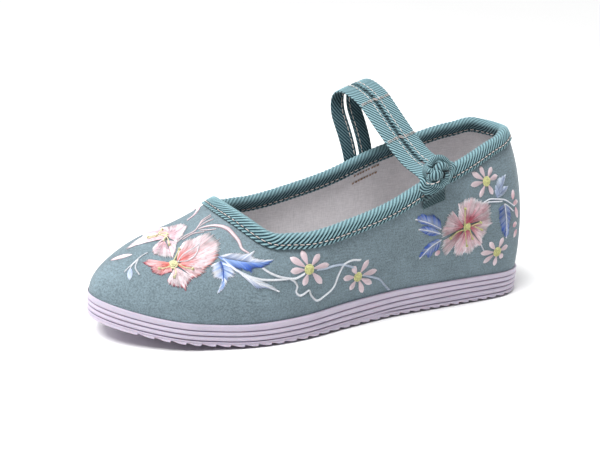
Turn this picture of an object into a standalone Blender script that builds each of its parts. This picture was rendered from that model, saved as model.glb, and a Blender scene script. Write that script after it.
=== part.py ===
"""Left embroidered cloth shoe: a moulded ribbed sole, a soft cloth upper open at a long collar,
a tape binding round the collar, and a double tape strap looped over a knotted cloth button.

Metres, +Z up. The toe points to +Y, the outer (little toe) side is at -X, and the origin lies on
the floor under the middle of the whole shoe.
"""
import math
from bisect import bisect_right

import bmesh
import bpy
from mathutils import Vector
from mathutils.bvhtree import BVHTree

# Sole
SOLE_LENGTH = 0.250
HEEL_WIDTH = 0.0646
WAIST_WIDTH = 0.0650
BALL_WIDTH = 0.0844
HEEL_ROUND = 0.115
TOE_ROUND = 0.830
HEEL_FULLNESS = 2.9
TOE_FULLNESS = 1.97
SOLE_HEEL_THICK = 0.0148
SOLE_FORE_THICK = 0.0116
TOE_SPRING = 0.0106
SPRING_START = 0.69
RIM_LIP = 0.0012
RECESS_DEPTH = 0.0020
GROOVE_DEPTH = 0.00055
GROOVE_WIDTH = 0.00035
EDGE_TUCK = 0.0005

# Saw tooth tread across the sole
TREAD_PITCH = 0.0067
TREAD_DEPTH = 0.0011
TREAD_LAND = 0.0022
TREAD_STEP = 0.0003
TREAD_FRONT = 0.0159
TREAD_BACK = 0.0095

# Upper
CLOTH_WALL = 0.0020
LAST_HEIGHT = 0.0922
VAMP_HEIGHT = 0.0490
TOE_BOX_HEIGHT = 0.0157
SIDE_BULGE = 0.0058
HEEL_TOP_STRETCH = 0.21
VAMP_LENGTH = 0.0688

# Footbed inside the upper
FOOTBED_HEEL = 0.0235
FOOTBED_FORE = 0.0040
FOOTBED_DISH = 0.0012
FOOTBED_TRIM = 0.004

# Tape goods
BINDING_WIDTH = 0.0062
BINDING_THICK = 0.0010
BINDING_CROWN = 0.0010
CROWN_SHOULDER = 0.1
CROWN_FLAT = 0.45
STRAP_BAND = 0.0075
STRAP_GAP = 0.0016
STRAP_THICK = 0.0016
STRAP_ARCH = 0.0383
STRAP_SEWN = 0.0150
STRAP_MEDIAL_SEAT = 0.0848
STRAP_LATERAL_SEAT = 0.0790
STRAP_LEAN = 0.0022
LEAN_RISE = 0.6
LOOP_DROP = 0.0057
LOOP_OPEN = 0.0048
TAIL_WIDTH = 0.0145
TAIL_LENGTH = 0.0128
TAIL_THICK = 0.0012
TAIL_NOTCH = 0.0038
TAIL_TAPER = 0.82
NOTCH_REACH = 0.6
TAPE_RAMP = 0.0018
TAIL_TOP = 0.0008

# Knotted button
KNOT_ACROSS = 0.0150
KNOT_TALL = 0.0180
KNOT_DEEP = 0.0110
KNOT_NECK = 0.0028
KNOT_RISE = 0.0025
KNOT_FORWARD = 0.0055
KNOT_STAND = 0.0006
FLUTES = 5
FLUTE_DEPTH = 0.05

WELD = 1e-6
CLEAR = 0.0003
SOFT_CLEAR = 0.0004
LINING_CLEAR = 0.0008

LATERAL = -1
MEDIAL = 1

# How many steps each run of the loft has
COLLAR_STEPS = 26
FRONT_STEPS = 12
WALL_STEPS = 8
SEAT_DETAIL = 3
ROUND_STEPS = 6
SLOPE_STEP = 0.02
OPENING_ROWS = 7
TURN_STEPS = 8
ACROSS_BAND = (0.0, 0.5, 1.0)
TAIL_COLUMNS = 4
BALL_SEGMENTS = 20
BALL_RINGS = 12
NECK_SIDES = 12
FOOTBED_LEVELS = (0.0, 0.5, 1.0)

# share of length, outer half width, inner half width
OUTLINE = (
    (0.00, 0.480 * HEEL_WIDTH, 0.477 * HEEL_WIDTH),
    (0.12, 0.514 * HEEL_WIDTH, 0.486 * HEEL_WIDTH),
    (0.25, 0.523 * HEEL_WIDTH, 0.469 * HEEL_WIDTH),
    (0.40, 0.535 * WAIST_WIDTH, 0.465 * WAIST_WIDTH),
    (0.52, 0.594 * WAIST_WIDTH, 0.498 * WAIST_WIDTH),
    (0.63, 0.506 * BALL_WIDTH, 0.449 * BALL_WIDTH),
    (0.73, 0.495 * BALL_WIDTH, 0.505 * BALL_WIDTH),
    (0.83, 0.429 * BALL_WIDTH, 0.493 * BALL_WIDTH),
    (0.92, 0.370 * BALL_WIDTH, 0.422 * BALL_WIDTH),
    (1.00, 0.332 * BALL_WIDTH, 0.296 * BALL_WIDTH),
)

# share of length, thickness of the sole's side
SOLE_SIDE = (
    (0.00, 0.95 * SOLE_HEEL_THICK),
    (0.15, 1.00 * SOLE_HEEL_THICK),
    (0.35, 0.99 * SOLE_HEEL_THICK),
    (0.50, 0.95 * SOLE_HEEL_THICK),
    (0.65, 1.07 * SOLE_FORE_THICK),
    (0.80, 0.99 * SOLE_FORE_THICK),
    (0.90, 0.98 * SOLE_FORE_THICK),
    (1.00, 1.03 * SOLE_FORE_THICK),
)

# share of length, height of each groove of the sole's side as shares of the side, last one's depth
GROOVES = (
    (0.00, 0.815, 0.625, 0.430, 0.225, 1.0),
    (0.28, 0.805, 0.610, 0.410, 0.215, 1.0),
    (0.38, 0.790, 0.580, 0.370, 0.235, 0.9),
    (0.44, 0.770, 0.550, 0.340, 0.245, 0.0),
    (0.60, 0.735, 0.520, 0.300, 0.215, 0.0),
    (1.00, 0.720, 0.510, 0.295, 0.205, 0.0),
)

# share of length, height of the last's ridge above the sole's edge
RIDGE = (
    (0.00, 0.94 * LAST_HEIGHT),
    (0.30, 1.00 * LAST_HEIGHT),
    (0.50, 0.82 * LAST_HEIGHT),
    (0.60, 0.65 * LAST_HEIGHT),
    (0.70, 1.00 * VAMP_HEIGHT),
    (0.80, 0.71 * VAMP_HEIGHT),
    (0.90, 0.51 * VAMP_HEIGHT),
    (1.00, 1.00 * TOE_BOX_HEIGHT),
)

# share of length, squareness across, squareness upward, bulge of the side
SECTION = (
    (0.00, 1.74, 1.58, 0.48 * SIDE_BULGE),
    (0.40, 1.93, 2.07, 1.00 * SIDE_BULGE),
    (0.75, 2.25, 2.15, 0.07 * SIDE_BULGE),
    (1.00, 2.26, 2.32, 0.09 * SIDE_BULGE),
)

# share of the way from heel to throat, share of the ridge's height where the collar is cut
COLLAR = (
    (0.000, 0.868),
    (0.084, 0.860),
    (0.183, 0.798),
    (0.309, 0.700),
    (0.449, 0.626),
    (0.590, 0.563),
    (0.702, 0.570),
    (0.801, 0.624),
    (0.885, 0.698),
    (0.950, 0.785),
    (1.000, 1.000),
)

# share of length, thickness of the footbed
FOOTBED = (
    (0.00, 1.00 * FOOTBED_HEEL),
    (0.20, 0.98 * FOOTBED_HEEL),
    (0.40, 0.66 * FOOTBED_HEEL),
    (0.55, 0.32 * FOOTBED_HEEL),
    (0.66, 1.10 * FOOTBED_FORE),
    (0.80, 1.00 * FOOTBED_FORE),
    (1.00, 1.00 * FOOTBED_FORE),
)

# share of the way across from the inner to the outer collar, share of the arch's rise
STRAP_SHAPE = (
    (0.000, 0.000),
    (-0.030, 0.160),
    (-0.093, 0.397),
    (-0.167, 0.638),
    (-0.194, 0.794),
    (-0.185, 0.925),
    (-0.131, 0.995),
    (-0.046, 1.000),
    (0.077, 0.932),
    (0.184, 0.837),
    (0.350, 0.618),
    (0.557, 0.337),
    (0.710, 0.166),
    (0.802, 0.095),
    (0.895, 0.052),
    (0.957, 0.028),
    (1.000, 0.000),
)


def follow(rows, column, share):
    """Value of a table's column at a share of the way, on a smooth curve through its rows."""
    places = [row[0] for row in rows]
    share = min(max(share, places[0]), places[-1])
    index = min(bisect_right(places, share) - 1, len(rows) - 2)

    def pitch(place):
        return (rows[place + 1][column] - rows[place][column]) / (places[place + 1] - places[place])

    def slope(place):
        if place in (0, len(rows) - 1):
            return pitch(min(place, len(rows) - 2))
        before, after = places[place] - places[place - 1], places[place + 1] - places[place]
        return (pitch(place - 1) * after + pitch(place) * before) / (before + after)

    span = places[index + 1] - places[index]
    part = (share - places[index]) / span
    start, end = rows[index][column], rows[index + 1][column]
    return ((2 * part ** 3 - 3 * part ** 2 + 1) * start
            + (part ** 3 - 2 * part ** 2 + part) * span * slope(index)
            + (3 * part ** 2 - 2 * part ** 3) * end
            + (part ** 3 - part ** 2) * span * slope(index + 1))


def along(station):
    """Place on Y of a share of the length, from the back of the heel."""
    return (station - 0.5) * SOLE_LENGTH


def station_at(y):
    return y / SOLE_LENGTH + 0.5


def middle(station):
    return (follow(OUTLINE, 2, station) - follow(OUTLINE, 1, station)) / 2


def half_width(station):
    """Half the sole's width, drawn in to nothing round the heel and the toe."""
    heel = max(HEEL_ROUND - station, 0) / HEEL_ROUND
    toe = max(station - TOE_ROUND, 0) / (1 - TOE_ROUND)
    rounded = ((1 - min(heel, 1) ** HEEL_FULLNESS) ** (1 / HEEL_FULLNESS)
               * (1 - min(toe, 1) ** TOE_FULLNESS) ** (1 / TOE_FULLNESS))
    return rounded * (follow(OUTLINE, 1, station) + follow(OUTLINE, 2, station)) / 2


def spine_point(station):
    """Point of the middle line from which the plan rays of a section start."""
    held = min(max(station, HEEL_ROUND), TOE_ROUND)
    return Vector((middle(held), along(held)))


def plan_point(station, side, inset=0.0):
    """Point of the sole's outline, moved in towards the middle line by inset."""
    edge = Vector((middle(station) + side * half_width(station), along(station)))
    ray = spine_point(station) - edge
    return edge + ray.normalized() * inset


def floor_rise(station):
    """Height of the tread's lands above the floor: flat, then the toe spring."""
    part = max(station - SPRING_START, 0) / (1 - SPRING_START)
    return TOE_SPRING * part ** 2


def sole_top(station):
    return floor_rise(station) + follow(SOLE_SIDE, 1, station)


def recess_floor(station):
    return sole_top(station) - RECESS_DEPTH


def ridge_height(station):
    return sole_top(station) + follow(RIDGE, 1, station)


def rounded_heel(ray, lift):
    """A ray of the heel's plan, drawn from the sole's square round to a longer true round."""
    across = abs(ray.x) / half_width(HEEL_ROUND)
    back = abs(ray.y) / (HEEL_ROUND * SOLE_LENGTH)
    rounder = max(math.hypot(across, back), 1.0) ** -lift
    return Vector((ray.x * rounder, ray.y * rounder * (1 + HEEL_TOP_STRETCH * lift)))


def last_point(station, side, angle, inset=RIM_LIP + CLEAR, foot=RECESS_DEPTH - CLEAR):
    """Point of the upper's outer face: angle 0 stands on the sole, a right angle is the ridge."""
    anchor = spine_point(station)
    ray = plan_point(station, side, inset) - anchor
    swell = follow(SECTION, 3, station) / ray.length
    out = math.cos(angle) ** (2 / follow(SECTION, 1, station)) + swell * math.sin(2 * angle)
    if station < HEEL_ROUND:
        ray = rounded_heel(ray, math.sin(angle) ** 2)
    plan = anchor + ray * out
    start = sole_top(station) - foot
    rise = math.sin(angle) ** (2 / follow(SECTION, 2, station))
    return Vector((*plan, start + (ridge_height(station_at(plan.y)) - start) * rise))


THROAT = 1 - VAMP_LENGTH / SOLE_LENGTH
RIGHT_ANGLE = math.pi / 2
# pace at which every column of the upper leaves the sole, whatever the height of its top
LOW_ANGLE = math.radians(50)


def collar_angle(station):
    """Angle round the last at which the collar is cut."""
    share = follow(COLLAR, 1, station / THROAT)
    return math.asin(share ** (follow(SECTION, 2, station) / 2))


def collar_point(station, side):
    return last_point(station, side, collar_angle(station))


def collar_stations(detail=1):
    """Stations from the heel's back to the throat, closest together at both ends."""
    steps = COLLAR_STEPS * detail
    return [THROAT * (1 - math.cos(math.pi * step / steps)) / 2 for step in range(steps + 1)]


def front_stations(detail=1):
    """Stations from the throat to the tip of the toe, closest together at both ends."""
    steps = FRONT_STEPS * detail
    return [THROAT + (1 - THROAT) * (1 - math.cos(math.pi * step / steps)) / 2
            for step in range(1, steps + 1)]


def material(name, colour, roughness):
    """A plain Principled material of a piece's colour."""
    made = bpy.data.materials.new(name)
    made.use_nodes = True
    shader = made.node_tree.nodes["Principled BSDF"]
    shader.inputs["Base Color"].default_value = (*colour, 1)
    shader.inputs["Roughness"].default_value = roughness
    shader.inputs["Metallic"].default_value = 0.0
    return made


def lofted(rows, closed):
    """A bmesh skin between rows of points; closed joins the last row to the first."""
    skin = bmesh.new()
    rings = [[skin.verts.new(point) for point in row] for row in rows]
    pairs = list(zip(rings, rings[1:]))
    if closed:
        pairs.append((rings[-1], rings[0]))
    for near, far in pairs:
        for index in range(len(near) - 1):
            skin.faces.new((near[index], near[index + 1], far[index + 1], far[index]))
    bmesh.ops.remove_doubles(skin, verts=skin.verts, dist=WELD)
    bmesh.ops.dissolve_degenerate(skin, edges=skin.edges, dist=WELD)
    return skin


def add_piece(name, skin, look, parts):
    """Make a named object of a bmesh in the shoe's collection."""
    mesh = bpy.data.meshes.new(name)
    skin.to_mesh(mesh)
    skin.free()
    piece = bpy.data.objects.new(name, mesh)
    parts.objects.link(piece)
    piece.data.materials.append(material(name, *look))
    mesh.shade_smooth()
    return piece


def thicken(piece, thickness, offset):
    """Solidify an open skin; offset -1 grows it inward, 0 both ways."""
    wall = piece.modifiers.new("Wall", "SOLIDIFY")
    wall.thickness = thickness
    wall.offset = offset
    wall.use_even_offset = True
    wall.use_quality_normals = True
    wall.thickness_clamp = 0.0


def sole_stations():
    """Stations round the heel, three for each tooth of the tread, and round the toe."""
    first = SOLE_LENGTH / 2 - TREAD_FRONT
    run = SOLE_LENGTH - TREAD_FRONT - TREAD_BACK - TREAD_LAND
    teeth = int(run / TREAD_PITCH) + 1
    last = first - (teeth - 1) * TREAD_PITCH - TREAD_STEP
    rows = []
    for step in range(ROUND_STEPS):
        part = 1 - math.cos(RIGHT_ANGLE * step / ROUND_STEPS)
        rows.append((along(0) + part * (last - along(0)), 0.0))
    for tooth in reversed(range(teeth)):
        land = first - tooth * TREAD_PITCH
        rows.append((land - TREAD_STEP, TREAD_DEPTH))
        rows.append((land, 0.0))
        rows.append((land + TREAD_LAND, 0.0))
    front = first + TREAD_LAND
    for step in range(1, ROUND_STEPS + 1):
        part = math.sin(RIGHT_ANGLE * step / ROUND_STEPS)
        rows.append((front + part * (along(1) - front), 0.0))
    return [(station_at(y), notch) for y, notch in rows]


def side_rings(station, notch):
    """Heights and insets of the sole's side at a station, from the tread up to the recess."""
    base, top = floor_rise(station), sole_top(station)
    tall = top - base
    rings = [(base + notch, EDGE_TUCK)]
    for column in (4, 3, 2, 1):
        depth = GROOVE_DEPTH
        if column == 4:
            depth *= max(follow(GROOVES, 5, station), 0.0)
        height = base + tall * follow(GROOVES, column, station)
        rings.append((height, 0.0))
        rings.append((height + GROOVE_WIDTH, depth))
    rings.append((top, 0.0))
    rings.append((top, RIM_LIP))
    rings.append((recess_floor(station), RIM_LIP))
    return rings


def make_sole(parts):
    stations = sole_stations()
    rows = []
    for side in (LATERAL, MEDIAL):
        half = [[Vector((*plan_point(station, side, inset), height))
                 for height, inset in side_rings(station, notch)]
                for station, notch in stations]
        rows.append(half)
    ring = rows[0] + rows[1][-2:0:-1]
    skin = bmesh.new()
    rings = [[skin.verts.new(point) for point in row] for row in ring]
    for near, far in zip(rings, rings[1:] + rings[:1]):
        for index in range(len(near) - 1):
            skin.faces.new((near[index], near[index + 1], far[index + 1], far[index]))
    count = len(rings)
    for level in (0, -1):
        close_ladder(skin, [ring[level] for ring in rings], count)
    bmesh.ops.recalc_face_normals(skin, faces=skin.faces)
    add_piece("sole", skin, ((0.62, 0.55, 0.62), 0.7), parts)


def close_ladder(skin, verts, count):
    """Close a loop whose two halves mirror each other with rungs across it."""
    for index in range(count // 2):
        corners = [verts[index], verts[index + 1], verts[-index - 1], verts[-index]]
        distinct = list(dict.fromkeys(corners))
        if len(distinct) > 2:
            skin.faces.new(distinct)


def upper_rows(detail=1):
    """Columns of the upper's outer face, from the heel's back round the outer side to the toe
    and home round the inner side."""
    steps = WALL_STEPS * detail

    def column(station, side, top):
        shares = [step / steps for step in range(steps + 1)]
        return [last_point(station, side, LOW_ANGLE * share + (top - LOW_ANGLE) * share ** 2)
                for share in shares]

    def half(side):
        behind = [column(station, side, collar_angle(station))
                  for station in collar_stations(detail)]
        ahead = [column(station, side, RIGHT_ANGLE) for station in front_stations(detail)]
        return behind + ahead

    return half(LATERAL) + half(MEDIAL)[-2:0:-1]


def make_upper(parts):
    piece = add_piece("upper", lofted(upper_rows(), closed=True), ((0.20, 0.25, 0.27), 0.9), parts)
    thicken(piece, CLOTH_WALL, -1)


def cloth_seat():
    """A fine copy of the upper's outer face, for what is sewn to it to be laid on."""
    skin = lofted(upper_rows(SEAT_DETAIL), closed=True)
    seat = BVHTree.FromBMesh(skin)
    skin.free()
    return seat


def on_cloth(seat, point, outset):
    """Nearest point of the upper's outer face, moved out along its normal."""
    place, normal, _, _ = seat.find_nearest(point)
    return place + normal * outset


def collar_edge():
    """Points of the upper's edge right round the collar, from the heel's back by the outer side."""
    stations = collar_stations()
    return ([collar_point(station, LATERAL) for station in stations]
            + [collar_point(station, MEDIAL) for station in stations[-2:0:-1]])


def make_binding(parts, seat):
    """Tape folded over the collar's edge, as a U of even thickness."""
    edge = collar_edge()
    count = len(edge)
    outer = SOFT_CLEAR + BINDING_THICK / 2
    inner = -(CLOTH_WALL + LINING_CLEAR + BINDING_THICK / 2)
    shoulder = CROWN_SHOULDER * BINDING_WIDTH
    rows = []
    for index, point in enumerate(edge):
        run = (edge[(index + 1) % count] - edge[index - 1]).normalized()
        _, normal, _, _ = seat.find_nearest(point)
        normal = (normal - run * normal.dot(run)).normalized()
        down = normal.cross(run)
        crown = point - down * (BINDING_CROWN + BINDING_THICK / 2)
        row = [on_cloth(seat, point + down * BINDING_WIDTH * share, outer)
               for share in (1.0, 0.5)]
        row.append(point + normal * outer + down * shoulder)
        row.append(crown + normal * outer * CROWN_FLAT)
        row.append(crown + normal * (inner - outer * CROWN_FLAT + SOFT_CLEAR))
        row.append(point + normal * inner + down * shoulder)
        row += [on_cloth(seat, point + down * BINDING_WIDTH * share, inner)
                for share in (0.5, 1.0)]
        rows.append(row)
    piece = add_piece("collar_binding", lofted(rows, closed=True), ((0.05, 0.20, 0.23), 0.85), parts)
    thicken(piece, BINDING_THICK, 0)


def footbed_point(station, side, height):
    """Point inside the upper's wall at a height, clear of the cloth."""
    inset = RIM_LIP + CLEAR + CLOTH_WALL + LINING_CLEAR
    start = sole_top(station) - RECESS_DEPTH + CLEAR
    y = along(station)
    for _ in range(3):
        share = min(max((height - start) / (ridge_height(station_at(y)) - start), 0), 1)
        angle = math.asin(share ** (follow(SECTION, 2, station) / 2))
        point = last_point(station, side, angle, inset)
        y = point.y
    return Vector((point.x, point.y, height))


def make_insole(parts):
    """Footbed: a cushion that fills the upper's foot, thick under the heel."""
    stations = collar_stations() + front_stations()
    stations = [station for station in stations if FOOTBED_TRIM < station < 1 - FOOTBED_TRIM]
    halves = []
    for side in (LATERAL, MEDIAL):
        half = []
        for station in stations:
            base = recess_floor(station) + CLEAR
            tall = follow(FOOTBED, 1, station)
            half.append([footbed_point(station, side, base + tall * level)
                         for level in FOOTBED_LEVELS])
        halves.append(half)
    skin = bmesh.new()
    rings = [[skin.verts.new(point) for point in row] for row in halves[0] + halves[1][::-1]]
    for near, far in zip(rings, rings[1:] + rings[:1]):
        for index in range(len(FOOTBED_LEVELS) - 1):
            skin.faces.new((near[index], near[index + 1], far[index + 1], far[index]))
    half = len(stations)
    bottom = [ring[0] for ring in rings]
    crown = [ring[-1] for ring in rings]
    for index in range(half - 1):
        mirror = 2 * half - 1 - index
        skin.faces.new((bottom[index], bottom[index + 1], bottom[mirror - 1], bottom[mirror]))
    centres = []
    for index in range(half):
        mirror = 2 * half - 1 - index
        centre = (crown[index].co + crown[mirror].co) / 2
        dish = FOOTBED_DISH if 0 < index < half - 1 else 0.0
        centres.append(skin.verts.new(centre - Vector((0, 0, dish))))
    for index in range(half - 1):
        mirror = 2 * half - 1 - index
        skin.faces.new((crown[index], crown[index + 1], centres[index + 1], centres[index]))
        skin.faces.new((centres[index], centres[index + 1], crown[mirror - 1], crown[mirror]))
    for index in (0, half - 1):
        mirror = 2 * half - 1 - index
        skin.faces.new((crown[index], crown[mirror], centres[index]))
    bmesh.ops.recalc_face_normals(skin, faces=skin.faces)
    add_piece("insole", skin, ((0.42, 0.37, 0.34), 0.9), parts)


def wall_point(seat, side, y, drop, outset):
    """Point a drop down along a side wall from the collar's edge at a place on Y, or with a
    negative drop on above the edge."""
    edge = collar_point(station_at(y), side)
    _, normal, _, _ = seat.find_nearest(edge)
    down = (Vector((0, 0, -1)) + normal * normal.z).normalized()
    if drop < 0:
        return edge + down * drop + normal * outset
    return on_cloth(seat, edge + down * drop, outset)


def below_binding(side, y):
    """Drop that clears the binding's lower edge, which follows the collar's slope."""
    station = station_at(y)
    run = collar_point(station + SLOPE_STEP, side) - collar_point(station - SLOPE_STEP, side)
    return BINDING_WIDTH * run.length / abs(run.y) + 2 * SOFT_CLEAR


def hole_drop():
    """Drop of the loop's hole, where the button's neck passes, below the collar's edge."""
    return LOOP_DROP - STRAP_BAND - STRAP_GAP / 2


def make_strap(parts, seat):
    """Two tape bands side by side, one long loop: sewn to the inner wall, arched over the
    instep and closed by a round end that the button's neck passes through."""
    under_cloth = CLEAR + STRAP_THICK / 2
    over_binding = SOFT_CLEAR + BINDING_THICK + SOFT_CLEAR + STRAP_THICK / 2
    loop_outset = SOFT_CLEAR + BINDING_THICK + CLEAR + TAIL_THICK + CLEAR + STRAP_THICK / 2
    medial_y = along(0) + STRAP_MEDIAL_SEAT
    lateral_y = along(0) + STRAP_LATERAL_SEAT

    def medial_row(drop, outset, place):
        return wall_point(seat, MEDIAL, medial_y + place, drop, outset)

    def lateral_row(drop, place):
        return wall_point(seat, LATERAL, lateral_y + place, drop, loop_outset)

    def arch_row(share, place):
        start = medial_row(0.0, over_binding, place)
        end = lateral_row(hole - neck / 2, place)
        across, rise = share
        lean = STRAP_LEAN * (1 - across) * min(rise / LEAN_RISE, 1)
        return start.lerp(end, across) + Vector((0, lean, rise * STRAP_ARCH))

    hole = hole_drop()
    neck = KNOT_NECK / 2 + 2 * CLEAR
    low = STRAP_BAND + STRAP_GAP / 2
    clear_drop = below_binding(MEDIAL, medial_y)
    ramp_drop = clear_drop + TAPE_RAMP
    sewn = [(STRAP_SEWN, under_cloth), ((STRAP_SEWN + ramp_drop) / 2, under_cloth),
            (ramp_drop, under_cloth), (clear_drop, over_binding),
            (clear_drop / 2, over_binding)]
    way = [lambda place, drop=drop, outset=outset: medial_row(drop, outset, place)
           for drop, outset in sewn]
    for share in arch_shares():
        way.append(lambda place, share=share: arch_row(share, place))
    way.append(lambda place: lateral_row(hole, place))
    count = len(way)
    rows = []
    for side in (-1, 1):
        lane = []
        for index, step in enumerate(way):
            nearness = max(index - (count - 1 - OPENING_ROWS), 0) / OPENING_ROWS
            slit = STRAP_GAP / 2 + (LOOP_OPEN - STRAP_GAP / 2) * nearness ** 2
            places = [slit + STRAP_BAND * share for share in ACROSS_BAND]
            lane.append([step(side * place) for place in places])
        rows.append(lane)
    turn = []
    for step in range(1, TURN_STEPS):
        angle = math.pi * step / TURN_STEPS
        turn.append([lateral_row(hole + math.sin(angle) * (neck + (low - neck) * share),
                                 -math.cos(angle) * (LOOP_OPEN + STRAP_BAND * share))
                     for share in ACROSS_BAND])
    hairpin = rows[0] + turn + rows[1][::-1]
    skin = lofted(hairpin, closed=False)
    piece = add_piece("strap", skin, ((0.06, 0.22, 0.25), 0.85), parts)
    thicken(piece, STRAP_THICK, 0)


def arch_shares():
    """Points of the arch, two to each row of its table."""
    shares = []
    knots = [(index, *row) for index, row in enumerate(STRAP_SHAPE)]
    for index in range(len(STRAP_SHAPE) - 1):
        for part in (0.0, 0.5):
            shares.append((follow(knots, 1, index + part), follow(knots, 2, index + part)))
    shares.append(STRAP_SHAPE[-1])
    return shares


def make_tails(parts, seat):
    """The button's two tape ends, sewn flat to the outer wall under the loop with a notch
    between them."""
    y = along(0) + STRAP_LATERAL_SEAT
    low = SOFT_CLEAR + TAIL_THICK / 2
    high = SOFT_CLEAR + BINDING_THICK + CLEAR + TAIL_THICK / 2
    top = max(hole_drop() + KNOT_NECK / 2 + SOFT_CLEAR, TAIL_TOP)
    clear_drop = below_binding(LATERAL, y)
    bottom = top + TAIL_LENGTH
    rows = []
    for column in range(-TAIL_COLUMNS, TAIL_COLUMNS + 1):
        share = column / TAIL_COLUMNS
        end = bottom - TAIL_NOTCH * max(1 - abs(share) / NOTCH_REACH, 0.0)
        stops = ((top, high), ((top + clear_drop) / 2, high), (clear_drop, high),
                 (min(clear_drop + TAPE_RAMP, end), low), (end, low))
        row = []
        for drop, outset in stops:
            flare = TAIL_TAPER + (1 - TAIL_TAPER) * (drop - top) / TAIL_LENGTH
            row.append(wall_point(seat, LATERAL, y + share * flare * TAIL_WIDTH / 2, drop, outset))
        rows.append(row)
    piece = add_piece("button_tails", lofted(rows, closed=False), ((0.05, 0.19, 0.22), 0.85), parts)
    thicken(piece, TAIL_THICK, 0)


def make_knot(parts, seat):
    """The knotted button: a fluted ball on a short neck through the strap's loop."""
    y = along(0) + STRAP_LATERAL_SEAT
    hole = hole_drop()
    root = wall_point(seat, LATERAL, y, hole, SOFT_CLEAR + BINDING_THICK + CLEAR + TAIL_THICK)
    _, out, _, _ = seat.find_nearest(root)
    loop_face = SOFT_CLEAR + BINDING_THICK + CLEAR + TAIL_THICK + CLEAR + STRAP_THICK + KNOT_STAND
    centre = wall_point(seat, LATERAL, y, hole, loop_face + KNOT_DEEP / 2)
    centre += Vector((0, KNOT_FORWARD, KNOT_RISE))
    ball = bmesh.new()
    bmesh.ops.create_uvsphere(ball, u_segments=BALL_SEGMENTS, v_segments=BALL_RINGS, radius=0.5)
    for vert in ball.verts:
        around = math.atan2(vert.co.y, vert.co.x)
        flute = 1 + FLUTE_DEPTH * math.cos(FLUTES * around) * (1 - (2 * vert.co.z) ** 2)
        vert.co = Vector((vert.co.z * KNOT_DEEP, vert.co.x * flute * KNOT_ACROSS,
                          vert.co.y * flute * KNOT_TALL))
    turn = Vector((1, 0, 0)).rotation_difference(out).to_matrix().to_4x4()
    bmesh.ops.transform(ball, matrix=turn, verts=ball.verts)
    bmesh.ops.translate(ball, vec=centre, verts=ball.verts)
    bmesh.ops.recalc_face_normals(ball, faces=ball.faces)
    piece = add_piece("button_knot", ball, ((0.07, 0.24, 0.27), 0.85), parts)
    return piece, root, out, centre


def join_neck(piece, root, out, centre, cutters):
    """Fuse the neck, a short rod from the binding into the ball, to the knot."""
    length = (centre - root).dot(out)
    rod = bmesh.new()
    bmesh.ops.create_cone(rod, cap_ends=True, segments=NECK_SIDES, radius1=KNOT_NECK / 2,
                          radius2=KNOT_NECK / 2, depth=length)
    turn = Vector((0, 0, 1)).rotation_difference(out).to_matrix().to_4x4()
    bmesh.ops.transform(rod, matrix=turn, verts=rod.verts)
    bmesh.ops.translate(rod, vec=root + out * length / 2, verts=rod.verts)
    mesh = bpy.data.meshes.new("neck")
    rod.to_mesh(mesh)
    rod.free()
    neck = bpy.data.objects.new("neck", mesh)
    cutters.objects.link(neck)
    neck.hide_render = True
    neck.display_type = "WIRE"
    union = piece.modifiers.new("Neck", "BOOLEAN")
    union.operation = "UNION"
    union.object = neck


def centre_sideways(pieces):
    """Move everything so that the middle of the whole shoe's width is at X = 0."""
    graph = bpy.context.evaluated_depsgraph_get()
    sides = [corner[0] for piece in pieces for corner in piece.evaluated_get(graph).bound_box]
    shift = -(min(sides) + max(sides)) / 2
    for thing in bpy.data.objects:
        thing.location.x = shift


def main():
    for leftover in list(bpy.data.objects):
        bpy.data.objects.remove(leftover, do_unlink=True)
    parts = bpy.data.collections.new("embroidered_cloth_shoe")
    cutters = bpy.data.collections.new("helpers")
    for group in (parts, cutters):
        bpy.context.scene.collection.children.link(group)
    make_sole(parts)
    make_upper(parts)
    seat = cloth_seat()
    make_insole(parts)
    make_binding(parts, seat)
    make_strap(parts, seat)
    make_tails(parts, seat)
    knot = make_knot(parts, seat)
    join_neck(*knot, cutters)
    centre_sideways(parts.objects)


main()
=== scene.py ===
"""Dressed left cloth shoe: cotton upper with flower embroidery, twill tape binding and strap,
a knotted button, a linen lining and a pale ribbed sole.

Metres, +Z up, toe towards +Y, outer side at -X. The shape's functions repeat the construction's
own, in the same named sizes.
"""

import math
import random
from bisect import bisect_right
from functools import lru_cache

import bmesh
import bpy
import numpy as np
from mathutils import Matrix, Vector
from mathutils.bvhtree import BVHTree


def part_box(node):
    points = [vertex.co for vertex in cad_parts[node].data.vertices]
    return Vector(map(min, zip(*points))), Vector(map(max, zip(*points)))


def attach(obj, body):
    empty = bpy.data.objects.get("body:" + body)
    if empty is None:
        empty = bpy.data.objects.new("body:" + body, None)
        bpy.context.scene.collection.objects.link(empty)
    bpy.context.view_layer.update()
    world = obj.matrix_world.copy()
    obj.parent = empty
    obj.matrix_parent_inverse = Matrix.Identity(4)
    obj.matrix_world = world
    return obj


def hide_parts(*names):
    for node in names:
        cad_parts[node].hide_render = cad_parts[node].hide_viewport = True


bl_info = {
    "name": "Embroidered Cloth Shoe",
    "version": (1, 0, 0),
    "blender": (4, 5, 0),
    "location": "View3D > Sidebar > Cloth Shoe",
    "description": "Dresses the solids of a cloth shoe with cloth, tape, thread and a ribbed sole",
    "category": "Object",
}

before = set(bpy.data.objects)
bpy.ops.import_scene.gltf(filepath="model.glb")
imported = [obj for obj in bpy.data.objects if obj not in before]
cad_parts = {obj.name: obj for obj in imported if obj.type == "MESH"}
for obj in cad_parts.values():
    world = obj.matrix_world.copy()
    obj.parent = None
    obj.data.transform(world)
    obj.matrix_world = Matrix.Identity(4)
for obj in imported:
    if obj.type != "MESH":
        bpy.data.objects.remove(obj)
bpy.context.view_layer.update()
BODY = "root"

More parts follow.
